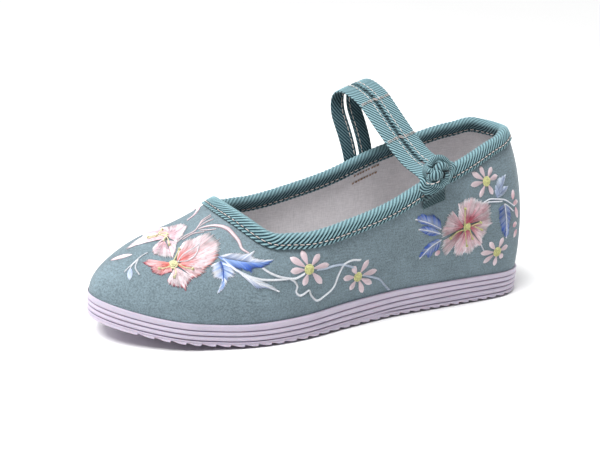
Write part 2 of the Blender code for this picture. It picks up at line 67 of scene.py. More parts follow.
# Sole, in metres
SOLE_LENGTH = 0.250
HEEL_WIDTH = 0.0646
WAIST_WIDTH = 0.0650
BALL_WIDTH = 0.0844
HEEL_ROUND = 0.115
TOE_ROUND = 0.830
HEEL_FULLNESS = 2.9
TOE_FULLNESS = 1.97
SOLE_HEEL_THICK = 0.0148
SOLE_FORE_THICK = 0.0116
TOE_SPRING = 0.0106
TIP_DROP = 0.0010
TIP_TUCK = 0.0009
SPRING_START = 0.69
RIM_LIP = 0.0012
RECESS_DEPTH = 0.0020
TREAD_PITCH = 0.0067
TREAD_DEPTH = 0.0011
TREAD_LAND = 0.0022
TREAD_STEP = 0.0003
TREAD_FRONT = 0.0159
TREAD_BACK = 0.0095

# Upper and footbed
CLOTH_WALL = 0.0020
LAST_HEIGHT = 0.0922
VAMP_HEIGHT = 0.0490
TOE_BOX_HEIGHT = 0.0157
SIDE_BULGE = 0.0058
HEEL_TOP_STRETCH = 0.21
VAMP_LENGTH = 0.0688
FOOTBED_HEEL = 0.0235
FOOTBED_FORE = 0.0040
FOOTBED_TRIM = 0.004

# Tape goods
BINDING_THICK = 0.0010
STRAP_BAND = 0.0075
STRAP_GAP = 0.0016
STRAP_THICK = 0.0016
STRAP_ARCH = 0.0383
STRAP_SEWN = 0.0150
STRAP_MEDIAL_SEAT = 0.0848
STRAP_LATERAL_SEAT = 0.0790
STRAP_LEAN = 0.0022
LEAN_RISE = 0.6
LOOP_DROP = 0.0057
LOOP_OPEN = 0.0048
TAIL_THICK = 0.0012
TAPE_RAMP = 0.0018
KNOT_NECK = 0.0028

CLEAR = 0.0003
SOFT_CLEAR = 0.0004
LINING_CLEAR = 0.0008
LATERAL = -1
MEDIAL = 1
THROAT = 1 - VAMP_LENGTH / SOLE_LENGTH
RIGHT_ANGLE = math.pi / 2
LOW_ANGLE = math.radians(50)
WELD = 1e-6
TINY = 1e-12
MM = 0.001

# share of length, outer half width, inner half width
OUTLINE = (
    (0.00, 0.480 * HEEL_WIDTH, 0.477 * HEEL_WIDTH),
    (0.12, 0.514 * HEEL_WIDTH, 0.486 * HEEL_WIDTH),
    (0.25, 0.523 * HEEL_WIDTH, 0.469 * HEEL_WIDTH),
    (0.40, 0.535 * WAIST_WIDTH, 0.465 * WAIST_WIDTH),
    (0.52, 0.594 * WAIST_WIDTH, 0.498 * WAIST_WIDTH),
    (0.63, 0.506 * BALL_WIDTH, 0.449 * BALL_WIDTH),
    (0.73, 0.495 * BALL_WIDTH, 0.505 * BALL_WIDTH),
    (0.83, 0.429 * BALL_WIDTH, 0.493 * BALL_WIDTH),
    (0.92, 0.370 * BALL_WIDTH, 0.422 * BALL_WIDTH),
    (1.00, 0.332 * BALL_WIDTH, 0.296 * BALL_WIDTH),
)

# share of length, thickness of the sole's side
SOLE_SIDE = (
    (0.00, 0.95 * SOLE_HEEL_THICK),
    (0.15, 1.00 * SOLE_HEEL_THICK),
    (0.35, 0.99 * SOLE_HEEL_THICK),
    (0.50, 0.95 * SOLE_HEEL_THICK),
    (0.65, 1.07 * SOLE_FORE_THICK),
    (0.80, 0.99 * SOLE_FORE_THICK),
    (0.90, 0.98 * SOLE_FORE_THICK),
    (1.00, 1.03 * SOLE_FORE_THICK),
)

# share of length, height of each groove of the sole's side as shares of the side, last one's depth
GROOVES = (
    (0.00, 0.815, 0.625, 0.430, 0.225, 1.0),
    (0.28, 0.805, 0.610, 0.410, 0.215, 1.0),
    (0.38, 0.790, 0.580, 0.370, 0.235, 0.9),
    (0.44, 0.770, 0.550, 0.340, 0.245, 0.0),
    (0.60, 0.735, 0.520, 0.300, 0.215, 0.0),
    (1.00, 0.720, 0.510, 0.295, 0.205, 0.0),
)

# share of length, height of the last's ridge above the sole's edge
RIDGE = (
    (0.00, 0.94 * LAST_HEIGHT),
    (0.30, 1.00 * LAST_HEIGHT),
    (0.50, 0.82 * LAST_HEIGHT),
    (0.60, 0.65 * LAST_HEIGHT),
    (0.70, 1.00 * VAMP_HEIGHT),
    (0.80, 0.71 * VAMP_HEIGHT),
    (0.90, 0.51 * VAMP_HEIGHT),
    (1.00, 1.00 * TOE_BOX_HEIGHT),
)

# share of length, squareness across, squareness upward, bulge of the side
SECTION = (
    (0.00, 1.74, 1.58, 0.48 * SIDE_BULGE),
    (0.40, 1.93, 2.07, 1.00 * SIDE_BULGE),
    (0.75, 2.25, 2.15, 0.07 * SIDE_BULGE),
    (1.00, 2.26, 2.32, 0.09 * SIDE_BULGE),
)

# share of the way from heel to throat, share of the ridge's height where the collar is cut
COLLAR = (
    (0.000, 0.868),
    (0.084, 0.860),
    (0.183, 0.798),
    (0.309, 0.700),
    (0.449, 0.626),
    (0.590, 0.563),
    (0.702, 0.570),
    (0.801, 0.624),
    (0.885, 0.698),
    (0.950, 0.785),
    (1.000, 1.000),
)

# share of length, thickness of the footbed
FOOTBED = (
    (0.00, 1.00 * FOOTBED_HEEL),
    (0.20, 0.98 * FOOTBED_HEEL),
    (0.40, 0.66 * FOOTBED_HEEL),
    (0.55, 0.32 * FOOTBED_HEEL),
    (0.66, 1.10 * FOOTBED_FORE),
    (0.80, 1.00 * FOOTBED_FORE),
    (1.00, 1.00 * FOOTBED_FORE),
)

# share of the way across from the inner to the outer collar, share of the arch's rise
STRAP_SHAPE = (
    (0.000, 0.000),
    (-0.030, 0.160),
    (-0.093, 0.397),
    (-0.167, 0.638),
    (-0.194, 0.794),
    (-0.185, 0.925),
    (-0.131, 0.995),
    (-0.046, 1.000),
    (0.077, 0.932),
    (0.184, 0.837),
    (0.350, 0.618),
    (0.557, 0.337),
    (0.710, 0.166),
    (0.802, 0.095),
    (0.895, 0.052),
    (0.957, 0.028),
    (1.000, 0.000),
)


def smooth_between(start, end, leaving, arriving, span, part):
    """Value a part of the way over a span, on a cubic with the given ends and slopes."""
    return ((2 * part ** 3 - 3 * part ** 2 + 1) * start
            + (part ** 3 - 2 * part ** 2 + part) * span * leaving
            + (3 * part ** 2 - 2 * part ** 3) * end
            + (part ** 3 - part ** 2) * span * arriving)


def follow(rows, column, share):
    """Value of a table's column at a share of the way, on a smooth curve through its rows."""
    places = [row[0] for row in rows]
    share = min(max(share, places[0]), places[-1])
    index = min(bisect_right(places, share) - 1, len(rows) - 2)

    def pitch(place):
        return (rows[place + 1][column] - rows[place][column]) / (places[place + 1] - places[place])

    def slope(place):
        if place in (0, len(rows) - 1):
            return pitch(min(place, len(rows) - 2))
        before, after = places[place] - places[place - 1], places[place + 1] - places[place]
        return (pitch(place - 1) * after + pitch(place) * before) / (before + after)

    span = places[index + 1] - places[index]
    return smooth_between(rows[index][column], rows[index + 1][column], slope(index),
                          slope(index + 1), span, (share - places[index]) / span)


def along(station):
    return (station - 0.5) * SOLE_LENGTH


def station_at(y):
    return y / SOLE_LENGTH + 0.5


def middle(station):
    return (follow(OUTLINE, 2, station) - follow(OUTLINE, 1, station)) / 2


def half_width(station):
    heel = max(HEEL_ROUND - station, 0) / HEEL_ROUND
    toe = max(station - TOE_ROUND, 0) / (1 - TOE_ROUND)
    rounded = ((1 - min(heel, 1) ** HEEL_FULLNESS) ** (1 / HEEL_FULLNESS)
               * (1 - min(toe, 1) ** TOE_FULLNESS) ** (1 / TOE_FULLNESS))
    return rounded * (follow(OUTLINE, 1, station) + follow(OUTLINE, 2, station)) / 2


def spine_point(station):
    held = min(max(station, HEEL_ROUND), TOE_ROUND)
    return Vector((middle(held), along(held)))


def plan_point(station, side, inset=0.0):
    """Point of the sole's outline, moved in towards the middle line by inset."""
    edge = Vector((middle(station) + side * half_width(station), along(station)))
    return edge + (spine_point(station) - edge).normalized() * inset


def to_tip(station):
    """Share of the way from the start of the toe's rise to its tip."""
    return max(station - SPRING_START, 0) / (1 - SPRING_START)


def floor_rise(station):
    part = to_tip(station)
    return TOE_SPRING * part ** 2 - TIP_DROP * part ** 3


def sole_top(station):
    return floor_rise(station) + follow(SOLE_SIDE, 1, station)


def recess_floor(station):
    return sole_top(station) - RECESS_DEPTH


def ridge_height(station):
    return sole_top(station) + follow(RIDGE, 1, station) + TIP_DROP * to_tip(station) ** 3


def rounded_heel(ray, lift):
    """A ray of the heel's plan, drawn from the sole's square round to a longer true round."""
    across = abs(ray.x) / half_width(HEEL_ROUND)
    back = abs(ray.y) / (HEEL_ROUND * SOLE_LENGTH)
    rounder = max(math.hypot(across, back), 1.0) ** -lift
    return Vector((ray.x * rounder, ray.y * rounder * (1 + HEEL_TOP_STRETCH * lift)))


@lru_cache(maxsize=None)
def section(station, side, inset):
    """What a cross section of the last needs: its anchor, ray, bulge and squareness."""
    anchor = spine_point(station)
    ray = plan_point(station, side, inset) - anchor
    return (anchor, ray, follow(SECTION, 3, station) / ray.length,
            2 / follow(SECTION, 1, station), 2 / follow(SECTION, 2, station), sole_top(station))


def last_point(station, side, angle, inset=RIM_LIP + CLEAR, foot=RECESS_DEPTH - CLEAR):
    """Point of the upper's outer face: angle 0 stands on the sole, a right angle is the ridge."""
    anchor, ray, swell, across, upward, top = section(station, side, inset)
    out = math.cos(angle) ** across + swell * math.sin(2 * angle)
    if station < HEEL_ROUND:
        ray = rounded_heel(ray, math.sin(angle) ** 2)
    plan = anchor + ray * out
    start = top - foot
    return Vector((*plan, start + (ridge_height(station_at(plan.y)) - start)
                   * math.sin(angle) ** upward))


@lru_cache(maxsize=None)
def collar_angle(station):
    share = follow(COLLAR, 1, station / THROAT)
    return math.asin(min(share, 1.0) ** (follow(SECTION, 2, station) / 2))


def collar_point(station, side):
    return last_point(station, side, collar_angle(station))


def cosine_steps(low, high, steps):
    """Values from low to high, closest together at both ends."""
    return [low + (high - low) * (1 - math.cos(math.pi * step / steps)) / 2
            for step in range(steps + 1)]


def footbed_point(station, side, height, inset):
    """Point inside the upper's wall at a height."""
    start = recess_floor(station) + CLEAR
    y = along(station)
    for _ in range(3):
        share = min(max((height - start) / (ridge_height(station_at(y)) - start), 0), 1)
        point = last_point(station, side, math.asin(share ** (follow(SECTION, 2, station) / 2)),
                           inset)
        y = point.y
    return Vector((point.x, point.y, height))


SIDE_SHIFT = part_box("sole")[0].x - min(plan_point(step / 400, LATERAL).x for step in range(401))


class Wire:
    """A shader value, so that sums on it can be written as Python."""

    def __init__(self, paint, socket):
        self.paint = paint
        self.socket = socket

    def math(self, operation, *others):
        return self.paint.node("ShaderNodeMath", {"operation": operation}, self, *others)

    def __add__(self, other):
        return self.math("ADD", other)

    def __mul__(self, other):
        return self.math("MULTIPLY", other)

    def __sub__(self, other):
        return self.math("SUBTRACT", other)

    def __rsub__(self, other):
        return (self * -1.0) + other

    __radd__ = __add__
    __rmul__ = __mul__

    def between(self, low, high):
        """0 below low, 1 above high, a straight ramp between."""
        return self.paint.node("ShaderNodeMapRange", {"clamp": True},
                               self, float(low), float(high), 0.0, 1.0)


class Paint:
    """A material under construction."""

    def __init__(self, name):
        self.material = bpy.data.materials.new(name)
        self.material.use_nodes = True
        self.tree = self.material.node_tree
        self.shader = self.tree.nodes["Principled BSDF"]

    def node(self, kind, settings, *inputs, output=0, **named):
        """Add a node: its settings first, then values or wires for its sockets."""
        made = self.tree.nodes.new(kind)
        for key, value in settings.items():
            setattr(made, key, value)
        for key, value in list(enumerate(inputs)) + list(named.items()):
            if isinstance(key, str):
                key = key.replace("_", " ")
            self.feed(made.inputs[key], value)
        return Wire(self, made.outputs[output])

    def feed(self, socket, value):
        if isinstance(value, Wire):
            self.tree.links.new(value.socket, socket)
        else:
            socket.default_value = value

    def attribute(self, name, output="Fac"):
        return self.node("ShaderNodeAttribute", {"attribute_name": name}, output=output)

    def place(self, stretch=(1.0, 1.0, 1.0)):
        """The object's own coordinates, in millimetres, stretched along its axes."""
        spot = self.node("ShaderNodeTexCoord", {}, output="Object")
        return self.node("ShaderNodeVectorMath", {"operation": "MULTIPLY"}, spot,
                         tuple(share / MM for share in stretch))

    def noise(self, size, where=None, detail=2.0, rough=0.5):
        """Soft noise whose blobs are about size millimetres."""
        return self.node("ShaderNodeTexNoise", {}, Vector=where or self.place(),
                         Scale=1.0 / size, Detail=detail, Roughness=rough)

    def mix(self, factor, first, second, blend="MIX"):
        made = self.tree.nodes.new("ShaderNodeMix")
        made.data_type = "RGBA"
        made.blend_type = blend
        self.feed(made.inputs[0], factor)
        self.feed(made.inputs[6], first)
        self.feed(made.inputs[7], second)
        return Wire(self, made.outputs[2])

    def bump(self, height, distance, strength=1.0):
        """Bump from a height of 0 to 1, worth distance metres."""
        return self.node("ShaderNodeBump", {}, Strength=strength, Distance=distance, Height=height)

    def finish(self, **sockets):
        for name, value in sockets.items():
            self.feed(self.shader.inputs[name.replace("_", " ")], value)
        return self.material


def tint(red, green, blue):
    """A colour given as the eye reads it, from 0 to 255, for a shader socket."""
    def linear(value):
        value /= 255
        return value / 12.92 if value <= 0.04045 else ((value + 0.055) / 1.055) ** 2.4
    return (linear(red), linear(green), linear(blue), 1.0)


def deeper(colour, share):
    """A colour brought down to a share of its light."""
    return (*(channel * share for channel in colour[:3]), 1.0)


def cotton_paint(colour):
    """Plain woven cotton: a fine grain, slubs, faint wavy figures and lighter threads on top."""
    paint = Paint("cotton")
    grain = paint.noise(0.55, detail=3.0, rough=0.75)
    slub = paint.noise(1.3, paint.place((1.0, 0.35, 1.0)), detail=2.0)
    figure = paint.node("ShaderNodeTexWave", {"bands_direction": "Z"}, Vector=paint.place(),
                        Scale=0.21, Distortion=14.0, Detail=2.0, Detail_Scale=0.35)
    patch = paint.noise(9.0).between(0.45, 0.6)
    cloud = paint.noise(16.0, detail=2.0)
    weave = paint.noise(0.75, detail=1.0).between(0.34, 0.66)
    shade = grain * 0.6 + slub * 0.3 + cloud * 0.3 + figure * patch * 0.12 + weave * 0.30
    body = paint.mix(shade.between(0.44, 1.12), deeper(colour, 0.60), deeper(colour, 1.36))
    height = grain * 0.6 + slub * 0.4 + figure * patch * 0.4
    return paint.finish(Base_Color=body, Roughness=0.88, Sheen_Weight=0.15, Sheen_Roughness=0.4,
                        Specular_IOR_Level=0.25,
                        Normal=paint.bump(height, 0.00016, 0.8))


def twill_paint(name, light, dark):
    """Twill tape: light ribs, dark grooves between them and a fine thread grain."""
    paint = Paint(name)
    # The mesh's rib value also holds painted light and shade: darker on a tape's wrong side and on the
    # binding's inner leg, lighter on the binding's crown.
    rib = paint.attribute("rib")
    grain = paint.noise(0.35, detail=3.0, rough=0.7)
    wear = paint.noise(3.0)
    body = paint.mix((rib * 0.95 + grain * 0.5 + wear * 0.1 - 0.42).between(0.0, 0.85), dark, light)
    return paint.finish(Base_Color=body, Roughness=0.8, Sheen_Weight=0.2, Sheen_Roughness=0.4,
                        Specular_IOR_Level=0.3, Normal=paint.bump(grain, 0.00010, 0.6))


def linen_paint(colour):
    """Lining linen: crossed fine threads, uneven along their length."""
    paint = Paint("linen")
    warp = paint.noise(0.5, paint.place((1.0, 1.0, 0.12)), detail=2.0, rough=0.6)
    weft = paint.noise(0.5, paint.place((0.12, 0.12, 1.0)), detail=2.0, rough=0.6)
    cloud = paint.noise(11.0)
    shade = warp * 0.45 + weft * 0.45 + cloud * 0.2
    body = paint.mix(shade.between(0.4, 0.8), deeper(colour, 0.80), deeper(colour, 1.15))
    return paint.finish(Base_Color=body, Roughness=0.92, Specular_IOR_Level=0.2,
                        Normal=paint.bump(warp + weft, 0.00010, 0.5))


def sole_paint(colour, groove_shade_colour):
    """Moulded foamed plastic, matt, with painted shade in its grooves, under its tread and at its top
    edge.
    """
    paint = Paint("moulded sole")
    groove = paint.attribute("groove")
    cloud = paint.noise(9.0)
    speck = paint.noise(0.7, detail=2.0)
    body = paint.mix((cloud * 0.6 + speck * 0.4).between(0.3, 0.7), deeper(colour, 0.93),
                     deeper(colour, 1.04))
    # The mesh's groove value mixes in the darker groove colour: painted shade.
    body = paint.mix(groove, body, groove_shade_colour)
    return paint.finish(Base_Color=body, Roughness=0.5, Specular_IOR_Level=0.4,
                        Subsurface_Weight=0.1, Subsurface_Scale=0.002,
                        Normal=paint.bump(speck, 0.00005, 0.4))


def thread_paint(name, gloss):
    """Sewing thread whose colour is held by the mesh, with twist lines and a silky shine."""
    paint = Paint(name)
    colour = paint.attribute("thread", "Color")
    twist = paint.noise(0.25, detail=2.0, rough=0.6)
    body = paint.mix(twist.between(0.35, 0.65) * 0.35, colour,
                     paint.mix(1.0, colour, (0.62, 0.62, 0.66, 1.0), "MULTIPLY"))
    return paint.finish(Base_Color=body, Roughness=gloss, Specular_IOR_Level=0.45,
                        Sheen_Weight=0.1, Normal=paint.bump(twist, 0.00004, 0.5))


def floor_paint(colour):
    paint = Paint("floor")
    cloud = paint.noise(400.0)
    return paint.finish(Base_Color=paint.mix(cloud, colour, deeper(colour, 0.99)), Roughness=0.7)


def mesh_of(name, points, faces, values=None, colours=None):
    """A smooth mesh of points and faces, with values or colours kept on its points."""
    mesh = bpy.data.meshes.new(name)
    mesh.from_pydata([tuple(point) for point in points], [], faces)
    for key, row in (values or {}).items():
        mesh.attributes.new(key, "FLOAT", "POINT").data.foreach_set("value", list(row))
    if colours is not None:
        flat = np.asarray(colours, float).ravel()
        mesh.attributes.new("thread", "FLOAT_COLOR", "POINT").data.foreach_set("color", flat)
    mesh.shade_smooth()
    mesh.validate()
    return mesh


def tube_faces(rings, around, first=0, closed=False, open_rings=False):
    """Faces between rings of points that follow each other. The ends are filled, unless the
    last ring joins the first."""
    faces = []
    for ring in range(rings if closed else rings - 1):
        near, far = first + ring * around, first + (ring + 1) % rings * around
        for spot in range(around - open_rings):
            turn = (spot + 1) % around
            faces.append((near + spot, near + turn, far + turn, far + spot))
    if not closed:
        last = first + (rings - 1) * around
        faces.append(tuple(range(first + around - 1, first - 1, -1)))
        faces.append(tuple(range(last, last + around)))
    return faces


def put(name, data):
    """A new object in the scene."""
    made = bpy.data.objects.new(name, data)
    bpy.context.scene.collection.objects.link(made)
    return made


def dress(name, mesh, material, *nodes, slot):
    """Put a piece on the shoe, in the given finish, where it stands for the named solids. Its slot is
    not used.
    """
    piece = put(name, mesh)
    piece.data.materials.append(material)
    piece.location.x = SIDE_SHIFT
    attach(piece, BODY)
    if nodes:
        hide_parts(*nodes)
    return piece


def thicken(piece, thickness):
    """Give a cloth's outer face its thickness."""
    wall = piece.modifiers.new("Wall", "SOLIDIFY")
    wall.thickness = thickness
    wall.offset = -1
    wall.use_even_offset = False
    wall.use_rim = True


CLOTH_THICK = 0.0009
LINING_THICK = 0.0007
CLOTH_COLUMNS = 120
VAMP_COLUMNS = 80
CLOTH_ROWS = 44

# Soft troughs and ridges of the cloth: place along in mm, degrees round, half length and half
# width in mm, height in mm, lean of the long axis in degrees from the sole
CREASES = (
    (34.0, 14.0, 16.0, 2.6, -0.45, 28.0), (29.0, 8.0, 13.0, 2.4, 0.35, 20.0),
    (43.0, 9.0, 14.0, 2.6, 0.35, 12.0), (-30.0, 16.0, 12.0, 2.6, -0.35, 50.0),
    (-24.0, 12.0, 11.0, 2.4, 0.3, 42.0), (60.0, 22.0, 16.0, 3.4, -0.3, 10.0),
    (-62.0, 30.0, 14.0, 4.0, -0.35, 60.0), (98.0, 15.0, 14.0, 3.2, 0.3, -6.0),
)
CREASE_DEPTH = 1.5
CREASE_END = 6


def cloth_columns():
    """Stations of the cloth's columns on one side, heel to toe, and each column's top angle."""
    behind = [(station, collar_angle(station))
              for station in cosine_steps(0.0, THROAT, CLOTH_COLUMNS)]
    ahead = [(station, RIGHT_ANGLE) for station in cosine_steps(THROAT, 1.0, VAMP_COLUMNS)[1:]]
    return behind + ahead


def cloth_mesh():
    """The upper's outer face, welded along the ridge, with its creases."""
    shares = [step / CLOTH_ROWS for step in range(CLOTH_ROWS + 1)]

    def half(side):
        return [[last_point(station, side, LOW_ANGLE * share + (top - LOW_ANGLE) * share ** 2)
                 for share in shares] for station, top in cloth_columns()]

    skin = bmesh.new()
    rings = [[skin.verts.new(point) for point in row]
             for row in half(LATERAL) + half(MEDIAL)[-2:0:-1]]
    for near, far in zip(rings, rings[1:] + rings[:1]):
        for index in range(CLOTH_ROWS):
            skin.faces.new((near[index], near[index + 1], far[index + 1], far[index]))
    bmesh.ops.remove_doubles(skin, verts=skin.verts, dist=WELD)
    bmesh.ops.dissolve_degenerate(skin, edges=skin.edges, dist=WELD)
    skin.normal_update()
    crease(skin)
    skin.normal_update()
    mesh = bpy.data.meshes.new("cloth")
    skin.to_mesh(mesh)
    skin.free()
    mesh.shade_smooth()
    return mesh


def crease(skin):
    """Press the soft troughs and ridges into the outer side's cloth, and echo them inside."""
    for side in (LATERAL, MEDIAL):
        for y, degrees, reach, width, height, lean in CREASES:
            centre = last_point(station_at(y * MM), side, math.radians(degrees))
            turn = math.radians(lean)
            run = Vector((0, math.cos(turn), math.sin(turn)))
            rise = Vector((0, -math.sin(turn), math.cos(turn)))
            for vert in skin.verts:
                if vert.co.x * side < 0:
                    continue
                off = (vert.co - centre) / MM
                far = (off.dot(run) / reach) ** 2 + (off.dot(rise) / width) ** 2
                if far < CREASE_END:
                    vert.co += vert.normal * (CREASE_DEPTH * height * MM * math.exp(-far))


class Ground:
    """The cloth's outer face, for what is sewn to it."""

    def __init__(self, mesh):
        skin = bmesh.new()
        skin.from_mesh(mesh)
        self.tree = BVHTree.FromBMesh(skin)
        skin.free()

    def under(self, point):
        place, normal, _, _ = self.tree.find_nearest(point)
        return place, normal

    def at(self, y, degrees):
        """Point on the cloth: mm along from the middle, degrees round from the outer side's
        foot, past a right angle on the inner side."""
        side = LATERAL if degrees <= 90 else MEDIAL
        angle = math.radians(degrees if degrees <= 90 else 180 - degrees)
        return self.under(last_point(station_at(y * MM), side, angle))[0]


@lru_cache(maxsize=None)
def ground():
    return Ground(bpy.data.meshes["cloth"])


def outward(point):
    """The cloth's outward direction nearest to a point."""
    return np.array(ground().under(Vector(point))[1])


def inward_copy(mesh, name, depth):
    """A copy of the cloth's face, moved in along its normals."""
    copy = mesh.copy()
    copy.name = name
    points = np.empty(len(copy.vertices) * 3)
    copy.vertices.foreach_get("co", points)
    normals = np.empty(len(copy.vertices) * 3)
    mesh.vertex_normals.foreach_get("vector", normals)
    copy.vertices.foreach_set("co", points - normals * depth)
    copy.materials.clear()
    copy.update()
    return copy


def smooth_along(rows, reach, closed=False):
    """Moving average over the first axis."""
    before, after = rows[-reach:], rows[:reach]
    if not closed:
        before, after = (np.repeat(end, reach, 0) for end in (rows[:1], rows[-1:]))
    padded = np.concatenate([before, rows, after])
    total = np.cumsum(np.concatenate([np.zeros_like(padded[:1]), padded]), axis=0)
    return (total[2 * reach + 1:] - total[:-2 * reach - 1]) / (2 * reach + 1)


def lengths_along(points):
    """Length run up to each point of a polyline."""
    return np.concatenate([[0], np.cumsum(np.linalg.norm(np.diff(points, axis=0), axis=1))])


def resampled(points, step, closed=False):
    """Points an even step apart along a polyline, on smooth curves between its corners."""
    points = np.asarray(points, float)
    loop = np.concatenate([points, points[:1]]) if closed else points
    flat = loop.reshape(len(loop), -1)
    lengths = lengths_along(flat[:, :3])
    count = max(int(round(lengths[-1] / step)), 2)
    wanted = np.linspace(0, lengths[-1], count + 1)
    slopes = np.gradient(flat, lengths, axis=0)
    if closed:
        wanted = wanted[:-1]
        slopes[0] = slopes[-1] = (flat[1] - flat[-2]) / (lengths[1] + lengths[-1] - lengths[-2])
    index = np.clip(np.searchsorted(lengths, wanted, side="right") - 1, 0, len(loop) - 2)
    span = (lengths[index + 1] - lengths[index])[:, None]
    part = (wanted - lengths[index])[:, None] / span
    made = smooth_between(flat[index], flat[index + 1], slopes[index], slopes[index + 1], span, part)
    return made.reshape((len(made),) + points.shape[1:]), wanted


def unit(vectors):
    """Vectors brought to length 1."""
    return vectors / np.maximum(np.linalg.norm(vectors, axis=-1, keepdims=True), TINY)


def normals_of(grid, closed=False):
    """Unit normals of a grid of points, (rows, columns, 3)."""
    down = np.roll(grid, -1, 0) - np.roll(grid, 1, 0) if closed else np.gradient(grid, axis=0)
    return unit(np.cross(down, np.gradient(grid, axis=1)))


# Share of its rib value that a tape keeps on its wrong side, as painted shade there, how narrow its
# ribs' tops are, and how much it thins and how suddenly at its edges
UNDERSIDE_SHADE = 0.42
RIB_NARROWNESS = 2.6
EDGE_THIN = 0.45
EDGE_SUDDENNESS = 8
RIB_STEPS = 7


def rib_height(phase):
    """Round ridges a whole phase apart, 0 in the groove and 1 on top."""
    return np.abs(np.sin(math.pi * phase)) ** RIB_NARROWNESS


def tape_mesh(name, grid, lengths, widths, thick, pitch, slant, relief, closed=False, flatten=1.0,
              beneath=None, tones=(0.0, 1.0)):
    """A ribbed tape over a grid of points, with round edges.

    Lengths and widths are each row's and column's place in metres. Slant is how far along a rib
    runs for each metre across, and the other way on the wrong side. Flatten is the share of
    relief left, and tones are the rib value in the grooves and on the ribs, both for all columns
    or for each; tones that differ by column paint light and shade. Beneath is how many columns
    the wrong side has, whose rib values UNDERSIDE_SHADE darkens as painted shade.
    """
    normals = normals_of(grid, closed)
    columns = grid.shape[1]
    edge = np.abs(np.linspace(-1, 1, columns))[None, :] ** EDGE_SUDDENNESS
    faced, ribs = [], []
    for face in (1, -1):
        rib = rib_height((lengths[:, None] + face * slant * widths[None, :]) / pitch) * flatten
        swell = thick / 2 * (1 - EDGE_THIN * edge) + relief * (rib - 0.5)
        faced.append(grid + face * normals * swell[..., None])
        ribs.append(tones[0] + (tones[1] - tones[0]) * rib)
    under = np.linspace(columns - 1, 0, beneath or columns).astype(int)
    ring = np.concatenate([faced[0], faced[1][:, under]], axis=1)
    # The wrong side's rib values are scaled down: painted shade.
    values = np.concatenate([ribs[0], ribs[1][:, under] * UNDERSIDE_SHADE], axis=1)
    faces = [face[:1] + face[:0:-1] for face in tube_faces(*ring.shape[:2], closed=closed)]
    return mesh_of(name, ring.reshape(-1, 3), faces, {"rib": values.ravel()})


BINDING_PITCH = 0.0024
BINDING_SLANT = -1.2
BINDING_RELIEF = 0.00045
BINDING_OUTER_LEG = 0.0062
BINDING_INNER_LEG = 0.0060
COLLAR_STEPS = 200
EDGE_SMOOTHING = 6
NORMAL_SMOOTHING = 24
LEG_COLUMNS = 22
# Where along a leg the seam presses the tape in, and how wide
STITCH_SHARE = 0.68
STITCH_CHANNEL = 0.09


@lru_cache(maxsize=None)
def collar_frames():
    """Even steps round the collar: points, outward normals, downward directions, lengths."""
    stations = cosine_steps(0.0, THROAT, COLLAR_STEPS)
    edge = ([collar_point(station, MEDIAL) for station in stations]
            + [collar_point(station, LATERAL) for station in stations[-2:0:-1]])
    points, lengths = resampled([tuple(point) for point in edge], BINDING_PITCH / RIB_STEPS, True)
    points = smooth_along(points, EDGE_SMOOTHING, closed=True)
    normals = np.array([outward(point) for point in points])
    normals = smooth_along(normals, NORMAL_SMOOTHING, closed=True)
    run = unit(np.roll(points, -1, 0) - np.roll(points, 1, 0))
    normals = unit(normals - run * np.sum(normals * run, axis=1, keepdims=True))
    return points, normals, np.cross(run, normals), lengths


def binding_profile():
    """Columns of the binding across its U: share of the leg down, and place in the wall's
    thickness from -1 on the inner face to 1 on the outer, with the crown between."""
    outer = [(1 - step / LEG_COLUMNS, 1.0) for step in range(LEG_COLUMNS)]
    crown = [(0.0, 1.0), (-0.10, 0.90), (-0.17, 0.70), (-0.22, 0.45), (-0.24, 0.15)]
    crown += [(drop, -across) for drop, across in reversed(crown)]
    inner = [(step / LEG_COLUMNS, -1.0) for step in range(1, LEG_COLUMNS + 1)]
    return outer + crown + inner


def binding_grid():
    """The binding's middle surface: rows round the collar of columns across its U."""
    points, normals, down, _ = collar_frames()
    outer = SOFT_CLEAR + BINDING_THICK / 2
    inner = -(CLOTH_WALL + LINING_CLEAR + BINDING_THICK / 2)
    centre, half = (outer + inner) / 2, (outer - inner) / 2
    grid = []
    for point, normal, fall in zip(points, normals, down):
        row = []
        for drop, across in binding_profile():
            leg = BINDING_OUTER_LEG if across > 0 else BINDING_INNER_LEG
            spot = Vector(point + fall * max(drop, 0) * leg)
            if drop > 0:
                spot, _ = ground().under(spot)
            row.append(np.array(spot) + normal * (centre + half * across)
                       + fall * min(drop, 0) * leg)
        grid.append(row)
    return np.array(grid)


STRAP_PITCH = 0.0026
STRAP_SLANT = -1.9
STRAP_RELIEF = 0.00028
OPENING_ROWS = 7
TURN_STEPS = 12
BAND_COLUMNS = 26
SLOPE_STEP = 0.02
STRAP_SMOOTHING = 5


def wall_point(side, y, drop, outset):
    """Point a drop down along a side wall from the collar's edge at a place on Y, or with a
    negative drop on above the edge."""
    edge = collar_point(station_at(y), side)
    _, normal = ground().under(edge)
    down = (Vector((0, 0, -1)) + normal * normal.z).normalized()
    if drop < 0:
        return edge + down * drop + normal * outset
    place, normal = ground().under(edge + down * drop)
    return place + normal * outset


def below_binding(side, y):
    station = station_at(y)
    run = collar_point(station + SLOPE_STEP, side) - collar_point(station - SLOPE_STEP, side)
    return BINDING_OUTER_LEG * run.length / abs(run.y) + 2 * SOFT_CLEAR


def hole_drop():
    return LOOP_DROP - STRAP_BAND - STRAP_GAP / 2


